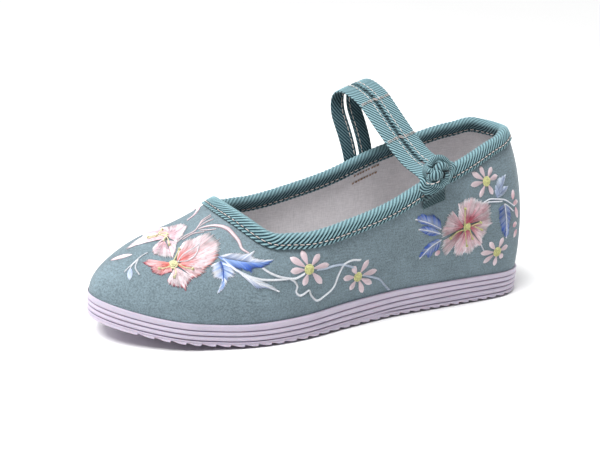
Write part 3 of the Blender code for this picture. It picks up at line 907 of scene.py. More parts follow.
def strap_rows():
    """Rows of points across the strap's band, along the whole loop: up one band, round the
    button's neck and back along the other."""
    under_cloth = CLEAR + STRAP_THICK / 2
    over_binding = SOFT_CLEAR + BINDING_THICK + SOFT_CLEAR + STRAP_THICK / 2
    loop_outset = SOFT_CLEAR + BINDING_THICK + CLEAR + TAIL_THICK + CLEAR + STRAP_THICK / 2
    medial_y = along(0) + STRAP_MEDIAL_SEAT
    lateral_y = along(0) + STRAP_LATERAL_SEAT
    hole = hole_drop()
    neck = KNOT_NECK / 2 + 2 * CLEAR
    low = STRAP_BAND + STRAP_GAP / 2
    clear_drop = below_binding(MEDIAL, medial_y)
    ramp_drop = clear_drop + TAPE_RAMP
    shares = [step / BAND_COLUMNS for step in range(BAND_COLUMNS + 1)]

    def medial_row(drop, outset, place):
        return wall_point(MEDIAL, medial_y + place, drop, outset)

    def lateral_row(drop, place):
        return wall_point(LATERAL, lateral_y + place, drop, loop_outset)

    def arch_row(across, rise, place):
        start = medial_row(0.0, over_binding, place)
        end = lateral_row(hole - neck / 2, place)
        lean = STRAP_LEAN * (1 - across) * min(rise / LEAN_RISE, 1)
        return start.lerp(end, across) + Vector((0, lean, rise * STRAP_ARCH))

    way = [lambda place, drop=drop, outset=outset: medial_row(drop, outset, place)
           for drop, outset in ((STRAP_SEWN, under_cloth), ((STRAP_SEWN + ramp_drop) / 2, under_cloth),
                                (ramp_drop, under_cloth), (clear_drop, over_binding),
                                (clear_drop / 2, over_binding))]
    knots = [(index, *row) for index, row in enumerate(STRAP_SHAPE)]
    for step in range(2 * len(STRAP_SHAPE) - 1):
        across, rise = follow(knots, 1, step / 2), follow(knots, 2, step / 2)
        way.append(lambda place, across=across, rise=rise: arch_row(across, rise, place))
    way.append(lambda place: lateral_row(hole, place))
    lanes = []
    for side in (-1, 1):
        lane = []
        for index, step in enumerate(way):
            nearness = max(index - (len(way) - 1 - OPENING_ROWS), 0) / OPENING_ROWS
            slit = STRAP_GAP / 2 + (LOOP_OPEN - STRAP_GAP / 2) * nearness ** 2
            lane.append([step(side * (slit + STRAP_BAND * share)) for share in shares])
        lanes.append(lane)
    turn = []
    for step in range(1, TURN_STEPS):
        angle = math.pi * step / TURN_STEPS
        turn.append([lateral_row(hole + math.sin(angle) * (neck + (low - neck) * share),
                                 -math.cos(angle) * (LOOP_OPEN + STRAP_BAND * share))
                     for share in shares])
    rows = lanes[0] + turn + lanes[1][::-1]
    return np.array([[tuple(point) for point in row] for row in rows])


@lru_cache(maxsize=None)
def strap_surface():
    """The strap's middle surface in even steps, with the length at each step."""
    rows = strap_rows()
    centre = rows[:, BAND_COLUMNS // 2]
    packed = np.concatenate([centre[:, None], rows], axis=1)
    fine, lengths = resampled(packed, STRAP_PITCH / RIB_STEPS)
    return smooth_along(fine[:, 1:], STRAP_SMOOTHING), lengths


def strap_at_bar(place):
    """Row of the strap's surface at a length from its sewn end, and its normals."""
    surface, lengths = strap_surface()
    row = int(np.searchsorted(lengths, place))
    return surface[row], normals_of(surface[row - 3:row + 4])[3]


# The knot's lobes as cords: radius in mm, then points right and up of its middle in mm, as they
# are seen from the side it shows, and how far under its round face each lies
KNOT_LOBES = (
    (1.5, ((-7.2, 2.2, 1.7), (-6.3, 2.2, 0.3), (-5.7, 4.0, 0.0), (-4.0, 6.2, 0.0), (-1.0, 7.6, 0.0),
           (2.7, 6.9, 0.0), (5.3, 4.8, 0.0), (6.4, 1.8, 0.2), (5.9, -0.4, 1.5))),
    (2.3, ((-2.6, -0.4, 1.8), (-0.9, 1.6, 0.2), (1.4, 2.9, -0.3), (3.6, 2.9, 0.2), (4.9, 1.3, 1.6))),
    (1.4, ((-7.4, 2.6, 0.6), (-7.2, 0.6, 0.0), (-5.8, -0.9, 0.0), (-3.4, -1.2, 1.0))),
    (2.5, ((-6.8, -4.2, 1.7), (-4.9, -4.1, 0.2), (-2.5, -3.5, -0.5), (-0.1, -2.6, 0.2),
           (1.9, -1.6, 1.8))),
    (2.0, ((4.2, -0.6, 1.8), (4.8, -2.2, 0.0), (5.2, -4.4, 0.0), (4.6, -6.4, 0.4), (3.0, -7.8, 1.7))),
    (1.6, ((-7.4, -5.0, 1.8), (-6.4, -6.6, 0.4), (-4.2, -8.0, 0.0), (-1.0, -8.6, 0.0),
           (2.2, -7.9, 0.0), (3.6, -6.2, 0.8), (3.4, -4.2, 1.9))),
)
# Near-black cords in the gaps between the lobes, as painted shadow, laid as the lobes are
KNOT_SHADOW_CORDS = (
    (0.50, ((-0.8, -0.7, 0.4), (1.6, -0.7, 0.1), (3.6, -0.3, 0.1), (6.0, -0.1, 0.4))),
    (0.40, ((2.6, -0.9, 0.4), (2.8, -2.6, 0.2), (2.3, -4.6, 0.4))),
    (0.35, ((-6.9, -2.1, 0.4), (-5.2, -2.2, 0.2), (-3.4, -1.4, 0.4))),
)
KNOT_SEAM = ((-5.8, -6.2, -0.5), (-4.2, -6.5, -0.6), (-2.2, -6.3, -0.6), (-0.2, -5.3, -0.5),
             (1.6, -3.9, -0.4))
KNOT_ACROSS = 0.0150
KNOT_TALL = 0.0180
KNOT_DEEP = 0.0110
KNOT_RISE = 0.0025
KNOT_FORWARD = 0.0055
KNOT_STAND = 0.0006
KNOT_PITCH = 0.00075
KNOT_RELIEF = 0.00018
# The core under the lobes: its places along the way out as shares of the knot's depth
KNOT_CORE = (-0.85, -0.4, -0.1, 0.12)
KNOT_CORE_RADIUS = 0.0042
TAIL_WIDTH = 0.0145
TAIL_LENGTH = 0.0128


def knot_frame():
    """The knot's middle, and its outward direction."""
    y = along(0) + STRAP_LATERAL_SEAT
    hole = hole_drop()
    loop_face = SOFT_CLEAR + BINDING_THICK + CLEAR + TAIL_THICK + CLEAR + STRAP_THICK + KNOT_STAND
    root = wall_point(LATERAL, y, hole, 0.0)
    centre = wall_point(LATERAL, y, hole, loop_face + KNOT_DEEP / 2)
    return centre + Vector((0, KNOT_FORWARD, KNOT_RISE)), ground().under(root)[1]


def on_knot(spot):
    """Point of the knot's round body for a lobe's point, and its direction out."""
    right, rise, sunk = (value * MM for value in spot)
    centre, out = knot_frame()
    turn = Vector((1, 0, 0)).rotation_difference(out).to_matrix()
    side, up, back = camera_axes()
    half = Vector((KNOT_DEEP / 2, KNOT_ACROSS / 2, KNOT_TALL / 2))

    def shares(vector):
        return Vector([value / size for value, size in zip(turn.transposed() @ vector, half)])

    start, way = shares(side * right + up * rise), shares(back)
    near = start - way * (start.dot(way) / way.length_squared)
    if near.length < 1:
        near = near + way * math.sqrt((1 - near.length_squared) / way.length_squared)
    else:
        near.normalize()
    near = Vector([value * size for value, size in zip(near, half)])
    return centre + turn @ (near - near.normalized() * sunk), turn @ near.normalized()


# Share of its radius that a cord has at its ends, and how fast it fills out from them
CORD_TIP = 0.55
CORD_FILL = 2.5


def cord_mesh(name, paths, pitch, relief, sides=22):
    """Round tape cords along paths of points, each with its radius, ribbed on the slant."""
    points, faces, values = [], [], []
    for radius, path in paths:
        spine, lengths = resampled(path, pitch / RIB_STEPS)
        run = unit(np.gradient(spine, axis=0))
        side = np.array(Vector(run[0]).orthogonal().normalized())
        faces += tube_faces(len(spine), sides, first=len(points))
        for index, (spot, way, length) in enumerate(zip(spine, run, lengths)):
            side = unit(side - way * side.dot(way))
            other = np.cross(way, side)
            share = index / (len(spine) - 1)
            swell = min(math.sin(math.pi * share) * CORD_FILL, 1)
            full = radius * (CORD_TIP + (1 - CORD_TIP) * swell)
            for step in range(sides):
                angle = 2 * math.pi * step / sides
                rib = math.sin(math.pi * (length / pitch + 2 * step / sides)) ** 2
                reach = full + relief * (rib - 0.5)
                points.append(spot + (side * math.cos(angle) + other * math.sin(angle)) * reach)
                values.append(rib)
    return mesh_of(name, points, faces, {"rib": values})


TAIL_ROWS = 60
TAIL_COLUMNS = 18


def tail_grid(left, right, top, bottoms, outset):
    """Rows down the wall between two sides' places in mm, each at the top and the bottom, ending
    at each side's own drop, with each row's and column's place in metres."""
    y = along(0) + STRAP_LATERAL_SEAT
    grid = []
    for index in range(TAIL_ROWS + 1):
        share = index / TAIL_ROWS
        low, high = (line[0] + (line[1] - line[0]) * share for line in (left, right))
        row = []
        for column in range(TAIL_COLUMNS + 1):
            bottom = bottoms[0] + (bottoms[1] - bottoms[0]) * column / TAIL_COLUMNS
            drop = top + (bottom - top) * share
            place = (low + (high - low) * column / TAIL_COLUMNS) * MM
            ramp = min(max((drop - BINDING_OUTER_LEG) / TAPE_RAMP, 0), 1)
            rest = outset + BINDING_THICK * (1 - ramp)
            row.append(tuple(wall_point(LATERAL, y + place, max(drop, 0.0), rest)))
        grid.append(row)
    return (smooth_along(np.array(grid), 3), np.linspace(0, max(bottoms) - top, TAIL_ROWS + 1),
            np.linspace(0, abs(right[0] - left[0]) * MM, TAIL_COLUMNS + 1))


THREAD = 0.00048
CORAL = tint(226, 96, 84)
SALMON = tint(236, 150, 144)
ROSE = tint(242, 198, 202)
BLUSH = tint(246, 230, 234)
MADDER = tint(196, 84, 104)
PINK = tint(222, 174, 184)
SHELL = tint(242, 226, 230)
DUSK = tint(212, 186, 194)
MAUVE = tint(214, 180, 192)
LEMON = tint(240, 238, 194)
MOSS = tint(222, 222, 158)
DEEP_BLUE = tint(62, 102, 192)
BLUE = tint(146, 176, 226)
MIST = tint(164, 180, 212)
SNOW = tint(240, 242, 246)
VINE = tint(200, 212, 226)
VINE_DARK = tint(88, 122, 130)
BEIGE = tint(226, 212, 206)
SEAT_BROWN = tint(180, 144, 112)

# Stitches: length, gap, width and height
BINDING_STITCH = (0.0026, 0.0006, 0.00042, 0.0004)
BAND_STITCH = (0.0032, 0.0002, 0.0004, 0.0004)
BAR_STITCH = (0.0036, 0.0, 0.0004, 0.0004)
KNOT_STITCH = (0.0026, 0.0003, 0.0005, 0.0004)
SEAT_STITCH = (0.0018, 0.0001, 0.0005, 0.0004)
STITCH_STEP = 0.00035
# Size of a thread's pointed ends against its middle
THREAD_TIP = 0.35


def blend(first, second, share):
    return tuple(near + (far - near) * share for near, far in zip(first, second))


class Needlework:
    """Threads gathered into one mesh, each with its own colour."""

    def __init__(self, name, seed):
        self.name = name
        self.points, self.faces, self.colours = [], [], []
        self.chance = random.Random(seed)

    def thread(self, path, normals, width, height, colours):
        """Lay one raised thread, three sided and pointed at its ends. Colours are one for each
        point or one for all."""
        path, normals = np.asarray(path, float), np.asarray(normals, float)
        count = len(path)
        self.faces += tube_faces(count, 3, first=len(self.points))
        side = unit(np.cross(normals, np.gradient(path, axis=0)))
        shared = isinstance(colours[0], (int, float))
        for index, spot in enumerate(path):
            taper = THREAD_TIP if index in (0, count - 1) else 1.0
            across = side[index] * width * taper / 2
            self.points += [spot - across, spot + normals[index] * height * taper, spot + across]
            self.colours += [colours if shared else colours[index]] * 3

    def varied(self, colour, spread=0.12):
        """A colour a little lighter or darker, by chance."""
        return deeper(colour, 1 + self.chance.uniform(-spread, spread))

    def mesh(self):
        return mesh_of(self.name, self.points, self.faces, colours=self.colours)


def running_stitch(work, points, normals, stitch, colour=BEIGE):
    """Stitches along a path, each a low hump that dives in at both ends."""
    length, gap, width, height = stitch
    spots, places = resampled(np.concatenate([points, normals], axis=1), STITCH_STEP)
    for start in np.arange(0, places[-1] - length, length + gap):
        picked = (places >= start) & (places <= start + length)
        if picked.sum() < 4:
            continue
        run, up = spots[picked, :3], spots[picked, 3:]
        hump = np.sin(np.linspace(0, math.pi, len(run)))[:, None] ** 0.5
        work.thread(run + up * (hump - 0.6) * height, up, width, height * 0.8, work.varied(colour))


# A petal's layers of strands: every how many, where they start and end from root to edge, how far
# their ends stray, and their share of the petal's depth
FAN_LAYERS = ((1, 0.42, 1.0, 0.05, 1.0), (2, 0.16, 0.78, 0.10, 1.5), (3, 0.02, 0.52, 0.14, 2.0))
# How far a strand's underside stands off the cloth
STAND_OFF = 0.00004


class Embroidery(Needlework):
    """Silk laid on the cloth. Places are mm along from the middle and degrees round."""

    def __init__(self, name, seed, mirrored=False):
        super().__init__(name, seed)
        self.mirrored = mirrored

    def spot(self, place):
        y, degrees = place
        return ground().at(y, 180 - degrees if self.mirrored else degrees)

    def spots(self, places):
        return np.array([tuple(self.spot(place)) for place in places])

    def lay(self, points, lifts, colours, width=THREAD):
        """One strand pressed on the cloth, lifted by each point's own height in metres."""
        path, ups = [], []
        for point, lift in zip(points, lifts):
            place, normal = ground().under(Vector(point))
            path.append(np.array(place) + np.array(normal) * lift)
            ups.append(tuple(normal))
        self.thread(path, ups, width, width * 0.55, colours)

    def fan(self, root, edge, inner, middle, outer, fringe, depth):
        """A petal of long and short strands from its root out to its ragged edge, where some end
        in the fringe's colour. The strands lie in bunches of a like tone."""
        root = np.array(self.spot(root))
        rim, _ = resampled(self.spots(edge), THREAD * 1.15)
        chance = self.chance
        bunch = [(chance.uniform(-0.3, 0.3), chance.uniform(0.82, 1.1)) for _ in rim[::4]] * 2
        hues = ((middle, outer), (middle, outer), (inner, middle))
        for (skip, low, high, stray, lift), (near, far) in zip(FAN_LAYERS, hues):
            for index in range(0, len(rim), skip):
                bow = math.sin(math.pi * (index + 0.5) / len(rim))
                start = low + chance.uniform(-0.08, 0.08)
                end = high + chance.uniform(-stray, stray)
                shares = np.linspace(max(start, 0.0), end, 7)[:, None]
                points = root + (rim[index] - root) * shares
                heights = depth * lift * (0.5 + 0.5 * bow) * (1 - 0.5 * shares[:, 0] ** 3)
                tone, light = bunch[(index + skip) // 4]
                tone += chance.uniform(-0.25, 0.25)
                light *= chance.uniform(0.84, 1.12)
                parts = [min(max((share - low) / (high - low) + tone, 0), 1)
                         for share in shares[:, 0]]
                tones = [deeper(blend(near, far, part), light) for part in parts]
                if skip == 1 and chance.random() < 0.5:
                    tones[-1], tones[-2] = fringe, blend(tones[-2], fringe, 0.6)
                self.lay(points, heights + STAND_OFF, tones)

    def half_leaf(self, vein, edge, near, far, lift=0.00016, tilt=0.16):
        """Strands leaning from a leaf's vein out to one edge."""
        rib, _ = resampled(self.spots(vein), THREAD * 0.9)
        rim, _ = resampled(self.spots(edge), THREAD * 0.9)
        count = max(len(rib), len(rim))
        for index in range(count):
            share = index / (count - 1)
            start = rib[int(share * (1 - tilt) * (len(rib) - 1))]
            end = rim[int(min(share * (1 - tilt) + tilt, 1) * (len(rim) - 1))]
            shares = np.linspace(0.0, self.chance.uniform(0.84, 1.12), 5)[:, None]
            if index % 3 == 0:
                tone, light = self.chance.uniform(-0.6, 0.4), self.chance.uniform(0.72, 1.15)
            self.lay(start + (end - start) * shares, lift * (1 - 0.6 * shares[:, 0] ** 2) + STAND_OFF,
                     [deeper(blend(near, far, min(max(part + tone, 0), 1)), light)
                      for part in shares[:, 0]])

    def leaf(self, lines, upper, lower):
        """A leaf from its vein and two edges, each half with colours at its vein and its edge."""
        vein, *edges = lines
        for edge, hues in zip(edges, (upper, lower)):
            self.half_leaf(vein, edge, *hues)

    def stem(self, places, width, colour, core=None, lift=0.0003, taper=0.0):
        """A satin cord: short strands that lean across its path."""
        path, _ = resampled(self.spots(places), THREAD * 1.1)
        run = unit(np.gradient(path, axis=0))
        shares = np.array([-1.0, -0.45, 0.45, 1.0])[:, None]
        tones = [colour, core or colour, core or colour, colour]
        for index, (point, way) in enumerate(zip(path, run)):
            side = np.cross(outward(point), way)
            share = index / max(len(path) - 1, 1)
            half = width / 2 * (1 - taper * abs(2 * share - 1) ** 1.5)
            ends = point + side * shares * half + way * shares * half * 0.8
            self.lay(ends, lift * (1 - shares[:, 0] ** 2) + STAND_OFF,
                     [self.varied(tone, 0.08) for tone in tones])

    def stems(self, paths, *looks, **more):
        for path in paths:
            self.stem(path, *looks, **more)

    def blade(self, base, tip, width, near, far, count=9, belly=0.5, lift=0.0003):
        """A smooth petal or bud of strands along its length, widest at belly."""
        base, tip = np.array(base), np.array(tip)
        side = unit(np.cross(outward((base + tip) / 2), tip - base))
        bend = math.log(0.5) / math.log(belly)
        shares = np.linspace(0.0, 1.0, 8)
        for index in range(count):
            across = 2 * index / (count - 1) - 1
            halves = width / 2 * np.sin(math.pi * shares ** bend) ** 0.8
            points = base + (tip - base) * shares[:, None] + side * (across * halves)[:, None]
            heights = lift * (1 - across ** 2) * np.sin(math.pi * shares) ** 0.5 + 0.00005
            self.lay(points, heights,
                     [self.varied(blend(near, far, share), 0.05) for share in shares])

    def knots(self, centre, radius, colour, lift=0.0004):
        """A raised round of small knots."""
        middle = np.array(centre)
        normal = Vector(outward(middle))
        first = normal.orthogonal().normalized()
        second = normal.cross(first)

        def way(angle):
            return np.array(first * math.cos(angle) + second * math.sin(angle))

        shares = np.array([-1, -0.5, 0, 0.5, 1.0])[:, None]
        for ring in range(4):
            far = radius * ring / 3.4
            dome = lift * (1.2 - 0.7 * (ring / 3) ** 2)
            count = max(6 * ring, 1)
            for step in range(count):
                angle = 2 * math.pi * step / count + ring
                self.lay(middle + way(angle) * far + way(angle + 1.2) * radius * 0.22 * shares,
                         dome * (0.4 + 0.6 * (1 - shares[:, 0] ** 2)), self.varied(colour, 0.18),
                         THREAD * 1.7)

    def daisy(self, places, radius, width, near, far):
        """A small flower: its middle, then its petals' tips."""
        middle, *tips = self.spots(places)
        for tip in tips:
            way = (tip - middle) / np.linalg.norm(tip - middle)
            self.blade(middle + way * radius * 0.7, tip, width, near, far, belly=0.66)
        self.knots(middle, radius, MOSS)

    def stamens(self, paths, colour, width):
        for path in paths:
            self.stem(path, width, colour, lift=0.0012)
            self.knots(self.spot(path[-1]), width * 0.6, colour, 0.0014)


# Outer side, toe: petals as a root and the outer edge it fans to
TOE_PETALS = (
    ((95.8, 53.8), ((113.3, 58.8), (114.0, 54.7), (110.0, 51.7), (107.8, 48.6), (106.3, 45.0),
                    (103.7, 43.2), (102.0, 42.3), (99.6, 43.6), (97.4, 44.9), (95.6, 45.4))),
    ((93.4, 49.6), ((97.8, 37.2), (97.3, 34.9), (95.0, 32.7), (92.6, 31.4), (90.6, 31.0),
                    (88.8, 29.2), (88.1, 31.8), (86.2, 35.9), (83.7, 39.0))),
    ((91.9, 52.4), ((83.7, 39.0), (80.5, 39.7), (77.9, 41.6), (76.5, 44.8), (73.9, 46.8),
                    (70.9, 49.2), (69.1, 54.8), (69.0, 58.0))),
    ((92.1, 54.4), ((69.0, 55.5), (67.2, 61.4), (68.3, 69.9), (69.5, 73.9), (71.5, 75.2),
                    (75.5, 74.9), (79.0, 76.1), (83.8, 71.8), (88.5, 67.0))),
)
# Their colours at the root, midway, outside and on the fringe
TOE_HUES = ((CORAL, SALMON, ROSE, MADDER), (ROSE, BLUSH, BLUSH, MADDER), (CORAL, ROSE, BLUSH, SALMON),
            (CORAL, ROSE, BLUSH, SNOW))
TOE_CENTRE = (94.7, 52.9)
TOE_STAMENS = (((94.0, 56.3), (91.2, 62.0), (87.7, 67.0)), ((97.0, 50.6), (100.0, 49.0), (102.9, 48.6)),
               ((94.2, 48.8), (93.1, 44.7), (94.2, 40.8)), ((91.1, 52.5), (87.7, 48.8), (82.9, 46.5)))
TOE_FOLD = (((91.5, 54.3), (86.6, 60.3), (79.8, 63.6), (75.2, 66.2)),
            ((91.5, 54.3), (83.7, 54.4), (79.6, 57.3), (75.3, 65.9)))
BACK_PETALS = (
    ((104.0, 85.0), ((86.0, 77.0), (78.2, 84.1), (73.9, 91.3), (75.0, 98.0), (80.0, 104.0))),
    ((107.0, 88.0), ((80.0, 104.0), (86.0, 114.0), (96.0, 118.0), (105.0, 114.0))),
    ((110.0, 88.0), ((105.0, 114.0), (112.0, 116.0), (118.0, 118.0), (121.0, 120.0), (122.0, 112.0))),
    ((110.0, 84.0), ((122.0, 112.0), (121.0, 100.0), (120.0, 90.0), (119.0, 82.0), (118.0, 76.0))),
    ((108.0, 80.0), ((118.0, 76.0), (116.0, 70.0), (111.8, 65.4), (105.4, 62.4), (100.0, 60.5),
                     (94.8, 60.0))),
    ((105.0, 81.0), ((94.8, 60.0), (93.0, 64.0), (90.0, 71.0), (86.0, 77.0))),
)
BACK_STAMENS = (
    ((110.0, 80.0), (113.0, 92.0), (117.0, 104.0)), ((108.0, 84.0), (104.0, 98.0), (92.0, 98.0)),
    ((112.0, 88.0), (119.5, 103.0), (121.0, 98.0)), ((107.0, 84.0), (101.0, 80.0), (98.0, 74.0)),
)
TWIG = (((117.1, 66.1), (118.7, 61.8), (119.0, 55.5), (119.5, 42.6)),
        ((118.5, 56.6), (118.7, 50.2), (118.0, 44.7)), ((118.5, 57.6), (116.1, 48.2), (112.5, 42.0)))
TWIG_LEAF = ((118.4, 47.5), (115.4, 34.7))
BUD = ((124.2, 62.0), (124.0, 134.0))
PINK_STEMS = (
    ((88.0, 76.4), (78.8, 80.9), (73.2, 82.2), (68.8, 86.7), (63.6, 87.5)),
    ((71.0, 84.2), (67.3, 88.6), (63.2, 89.1)),
    ((70.2, 84.1), (67.4, 84.7), (63.9, 83.5)),
    ((71.5, 79.8), (68.5, 76.0), (66.0, 73.4)),
    ((80.5, 77.9), (75.1, 79.9), (70.7, 76.5)),
)
PINK_ARC = ((71.3, 82.0), (67.7, 80.0), (64.0, 74.7), (61.7, 68.3), (60.7, 61.3), (59.8, 54.7),
            (59.6, 49.1), (57.4, 44.5))
# Leaves: vein, one edge, other edge, all from base to tip
LONG_LEAF = (
    ((70.3, 50.6), (63.8, 43.4), (58.3, 38.8), (51.9, 35.4), (47.0, 34.4)),
    ((70.3, 50.6), (65.4, 49.6), (60.9, 46.8), (57.4, 44.0), (54.6, 44.0), (55.6, 41.6),
     (54.3, 38.9), (50.6, 36.4), (47.0, 34.6)),
    ((69.0, 48.7), (66.8, 41.7), (64.1, 37.5), (61.1, 35.5), (59.6, 33.5), (57.5, 32.1),
     (57.2, 34.0), (53.9, 32.8), (49.8, 32.8), (47.0, 34.4)),
)
LOW_LEAF = (
    ((69.9, 46.4), (70.0, 38.8), (70.9, 32.0), (73.8, 24.1)),
    ((71.0, 46.6), (74.2, 45.9), (75.2, 41.4), (74.8, 36.3), (71.3, 33.1), (72.6, 29.1), (74.4, 23.8)),
    ((68.9, 45.7), (66.8, 41.7), (65.3, 37.3), (65.3, 33.0), (68.1, 32.6), (69.5, 29.7),
     (71.5, 26.1), (74.4, 23.8)),
)
PALE_LEAF = (
    ((68.6, 47.5), (64.8, 37.0), (60.0, 30.6), (56.4, 25.4), (50.9, 20.6), (45.5, 16.6)),
    ((67.8, 46.0), (64.2, 37.1), (58.8, 30.5), (54.6, 26.1), (51.9, 23.3), (47.9, 19.6), (45.5, 16.6)),
    ((68.0, 44.7), (64.9, 36.2), (61.1, 30.3), (58.7, 25.5), (56.1, 21.7), (50.9, 19.9), (45.5, 16.6)),
)
VINES = (
    ((52.3, 31.9), (49.7, 28.4), (45.8, 24.9), (40.4, 21.9), (37.3, 20.9), (32.1, 21.7)),
    ((58.9, 29.7), (54.6, 26.4), (48.3, 23.6), (40.4, 21.7)),
    ((39.8, 21.7), (37.0, 19.0), (35.7, 16.1), (36.3, 13.6), (34.6, 11.6), (31.3, 11.9),
     (29.3, 12.5), (27.7, 9.7), (24.5, 6.6), (18.7, 7.7), (14.5, 9.6), (12.0, 14.0), (8.7, 17.5),
     (4.3, 17.7), (-1.1, 16.4)),
    ((24.7, 21.2), (19.7, 19.8), (15.4, 19.2), (9.4, 17.5), (4.7, 15.3), (1.5, 13.7)),
    ((-3.8, 10.0), (-10.5, 8.0), (-15.7, 6.3), (-19.7, 3.8), (-23.3, 1.7)),
)
# Small flowers: middle, then the petals' tips
SIDE_DAISIES = (
    ((29.4, 23.0), (38.9, 32.7), (32.8, 34.3), (23.4, 28.3), (17.9, 20.8), (21.9, 13.6),
     (32.4, 15.8), (39.3, 25.3)),
    ((-0.7, 9.9), (3.2, 14.9), (-6.6, 15.2), (-13.1, 10.1), (-10.8, 5.5), (-5.5, 3.0), (3.4, 5.6),
     (8.7, 11.5)),
)
HEEL_DAISIES = (
    ((-83.3, 37.8), (-78.8, 43.5), (-87.7, 43.7), (-92.0, 40.6), (-88.3, 33.2), (-78.4, 31.6),
     (-71.6, 35.9), (-72.6, 40.8)),
    ((-95.1, 11.7), (-88.4, 15.4), (-98.6, 17.5), (-103.2, 14.2), (-100.3, 9.3), (-94.6, 5.8),
     (-85.8, 7.3), (-82.8, 11.2)),
)
HEEL_PETALS = (
    ((-69.5, 21.9), ((-64.1, 22.5), (-63.8, 24.8), (-63.9, 27.7), (-63.7, 29.3), (-66.8, 30.3),
                     (-70.9, 31.1), (-74.1, 31.3), (-76.8, 30.7), (-81.2, 30.3), (-85.1, 30.5),
                     (-86.4, 28.4), (-87.1, 26.8), (-86.9, 24.4))),
    ((-71.7, 21.2), ((-86.9, 24.4), (-88.3, 22.5), (-85.3, 20.8), (-84.6, 18.7), (-82.9, 16.7),
                     (-82.9, 14.5))),
    ((-70.3, 20.4), ((-83.0, 14.2), (-78.3, 13.4), (-76.6, 12.1), (-72.1, 11.3), (-71.3, 12.1),
                     (-70.1, 11.0), (-63.8, 11.3), (-63.1, 12.9), (-63.1, 15.8))),
    ((-67.3, 19.9), ((-61.5, 14.0), (-60.3, 12.7), (-58.7, 11.3), (-55.9, 12.1), (-54.7, 13.7),
                     (-54.8, 16.3))),
    ((-67.6, 20.9), ((-54.0, 17.7), (-53.2, 20.3), (-54.5, 22.3), (-55.6, 24.8), (-58.9, 26.7),
                     (-61.6, 25.1), (-63.0, 23.0), (-64.2, 22.2))),
)
HEEL_CENTRE = (-70.3, 21.1)
HEEL_STAMENS = (
    ((-68.2, 21.7), (-67.9, 24.5), (-67.8, 27.4)), ((-68.8, 20.1), (-63.7, 19.4), (-59.1, 17.2)),
    ((-73.3, 21.4), (-76.3, 22.2), (-79.4, 22.7)), ((-75.4, 21.2), (-78.2, 20.7), (-80.5, 20.1)),
    ((-71.9, 20.4), (-73.3, 18.5), (-74.5, 16.9)), ((-68.5, 20.1), (-69.7, 17.2), (-71.2, 14.3)),
)
HEEL_LEAVES = (
    (((-52.4, 20.6), (-45.6, 22.8), (-38.2, 24.7), (-35.2, 25.5)),
     ((-53.7, 21.5), (-50.8, 24.0), (-46.6, 26.2), (-42.7, 26.4), (-37.5, 26.8), (-35.2, 25.7)),
     ((-52.4, 20.3), (-47.3, 21.5), (-42.3, 22.9), (-38.8, 23.7), (-35.2, 25.5))),
    (((-52.2, 19.0), (-45.1, 20.4), (-37.7, 21.6)),
     ((-52.1, 19.4), (-44.8, 22.0), (-40.0, 22.3), (-37.7, 21.6)),
     ((-52.2, 18.8), (-45.4, 18.7), (-42.9, 19.4), (-37.7, 21.6))),
    (((-53.2, 16.7), (-46.4, 14.5), (-40.6, 11.1)),
     ((-53.0, 17.7), (-50.2, 17.1), (-46.0, 16.3), (-42.5, 14.5), (-40.3, 12.1), (-40.3, 11.2)),
     ((-53.5, 15.4), (-52.9, 14.1), (-49.4, 12.5), (-46.4, 11.1), (-44.7, 12.0), (-40.6, 11.1))),
    (((-97.6, 30.0), (-99.7, 24.6), (-100.9, 17.4)),
     ((-96.6, 30.0), (-93.8, 28.5), (-93.8, 25.7), (-95.0, 22.6), (-97.4, 19.4), (-100.9, 17.3)),
     ((-98.5, 30.1), (-101.1, 29.1), (-103.5, 25.8), (-102.6, 22.4), (-102.6, 19.0), (-100.9, 17.3))),
)
MIST_LEAVES = (
    (((-91.2, 32.4), (-93.5, 35.9), (-99.3, 41.7)),
     ((-90.1, 32.4), (-89.7, 35.1), (-91.2, 38.3), (-99.3, 41.7)),
     ((-92.4, 32.5), (-94.7, 35.4), (-97.6, 38.7), (-99.3, 41.7))),
    (((-91.2, 32.2), (-95.3, 34.6), (-100.9, 37.2)),
     ((-91.2, 32.4), (-92.3, 34.4), (-95.3, 36.3), (-100.9, 37.2)),
     ((-91.8, 32.1), (-95.9, 33.3), (-99.0, 35.1), (-100.9, 37.2))),
)
HEEL_STEMS = (
    ((-81.3, 29.8), (-84.5, 31.0), (-91.8, 31.6), (-97.2, 31.7), (-103.1, 30.6), (-106.5, 29.8)),
    ((-97.9, 30.1), (-101.8, 29.1), (-105.5, 27.8)), ((-84.5, 30.2), (-95.4, 31.0)),
    ((-82.1, 14.5), (-84.6, 12.3)),
)
# Buds: base and tip
HEEL_BUDS = (((-105.3, 32.1), (-105.6, 36.0)), ((-105.7, 30.7), (-110.8, 31.6)),
             ((-107.8, 29.3), (-111.1, 25.2)), ((-106.2, 21.9), (-110.2, 23.3)),
             ((-110.5, 20.7), (-108.1, 17.4)), ((-53.8, 12.8), (-50.6, 11.6)))


def toe_group(work):
    for root, edge in BACK_PETALS:
        work.fan(root, edge, ROSE, MAUVE, BLUSH, SNOW, depth=0.0003)
    work.stamens(BACK_STAMENS, LEMON, 0.0007)
    work.stems(PINK_STEMS, 0.0008, ROSE, BLUSH, taper=0.4)
    work.stems(TWIG, 0.0007, VINE, SNOW)
    work.blade(*work.spots(TWIG_LEAF), 0.0022, MIST, VINE)
    work.blade(*work.spots(BUD), 0.0028, BLUSH, ROSE)
    for (root, edge), hues in zip(TOE_PETALS, TOE_HUES):
        work.fan(root, edge, *hues, depth=0.0004)
    work.stems(TOE_FOLD, 0.0008, ROSE, SNOW, lift=0.0014, taper=0.5)
    work.stamens(TOE_STAMENS, LEMON, 0.0008)
    work.knots(work.spot(TOE_CENTRE), 0.0022, LEMON, 0.0012)


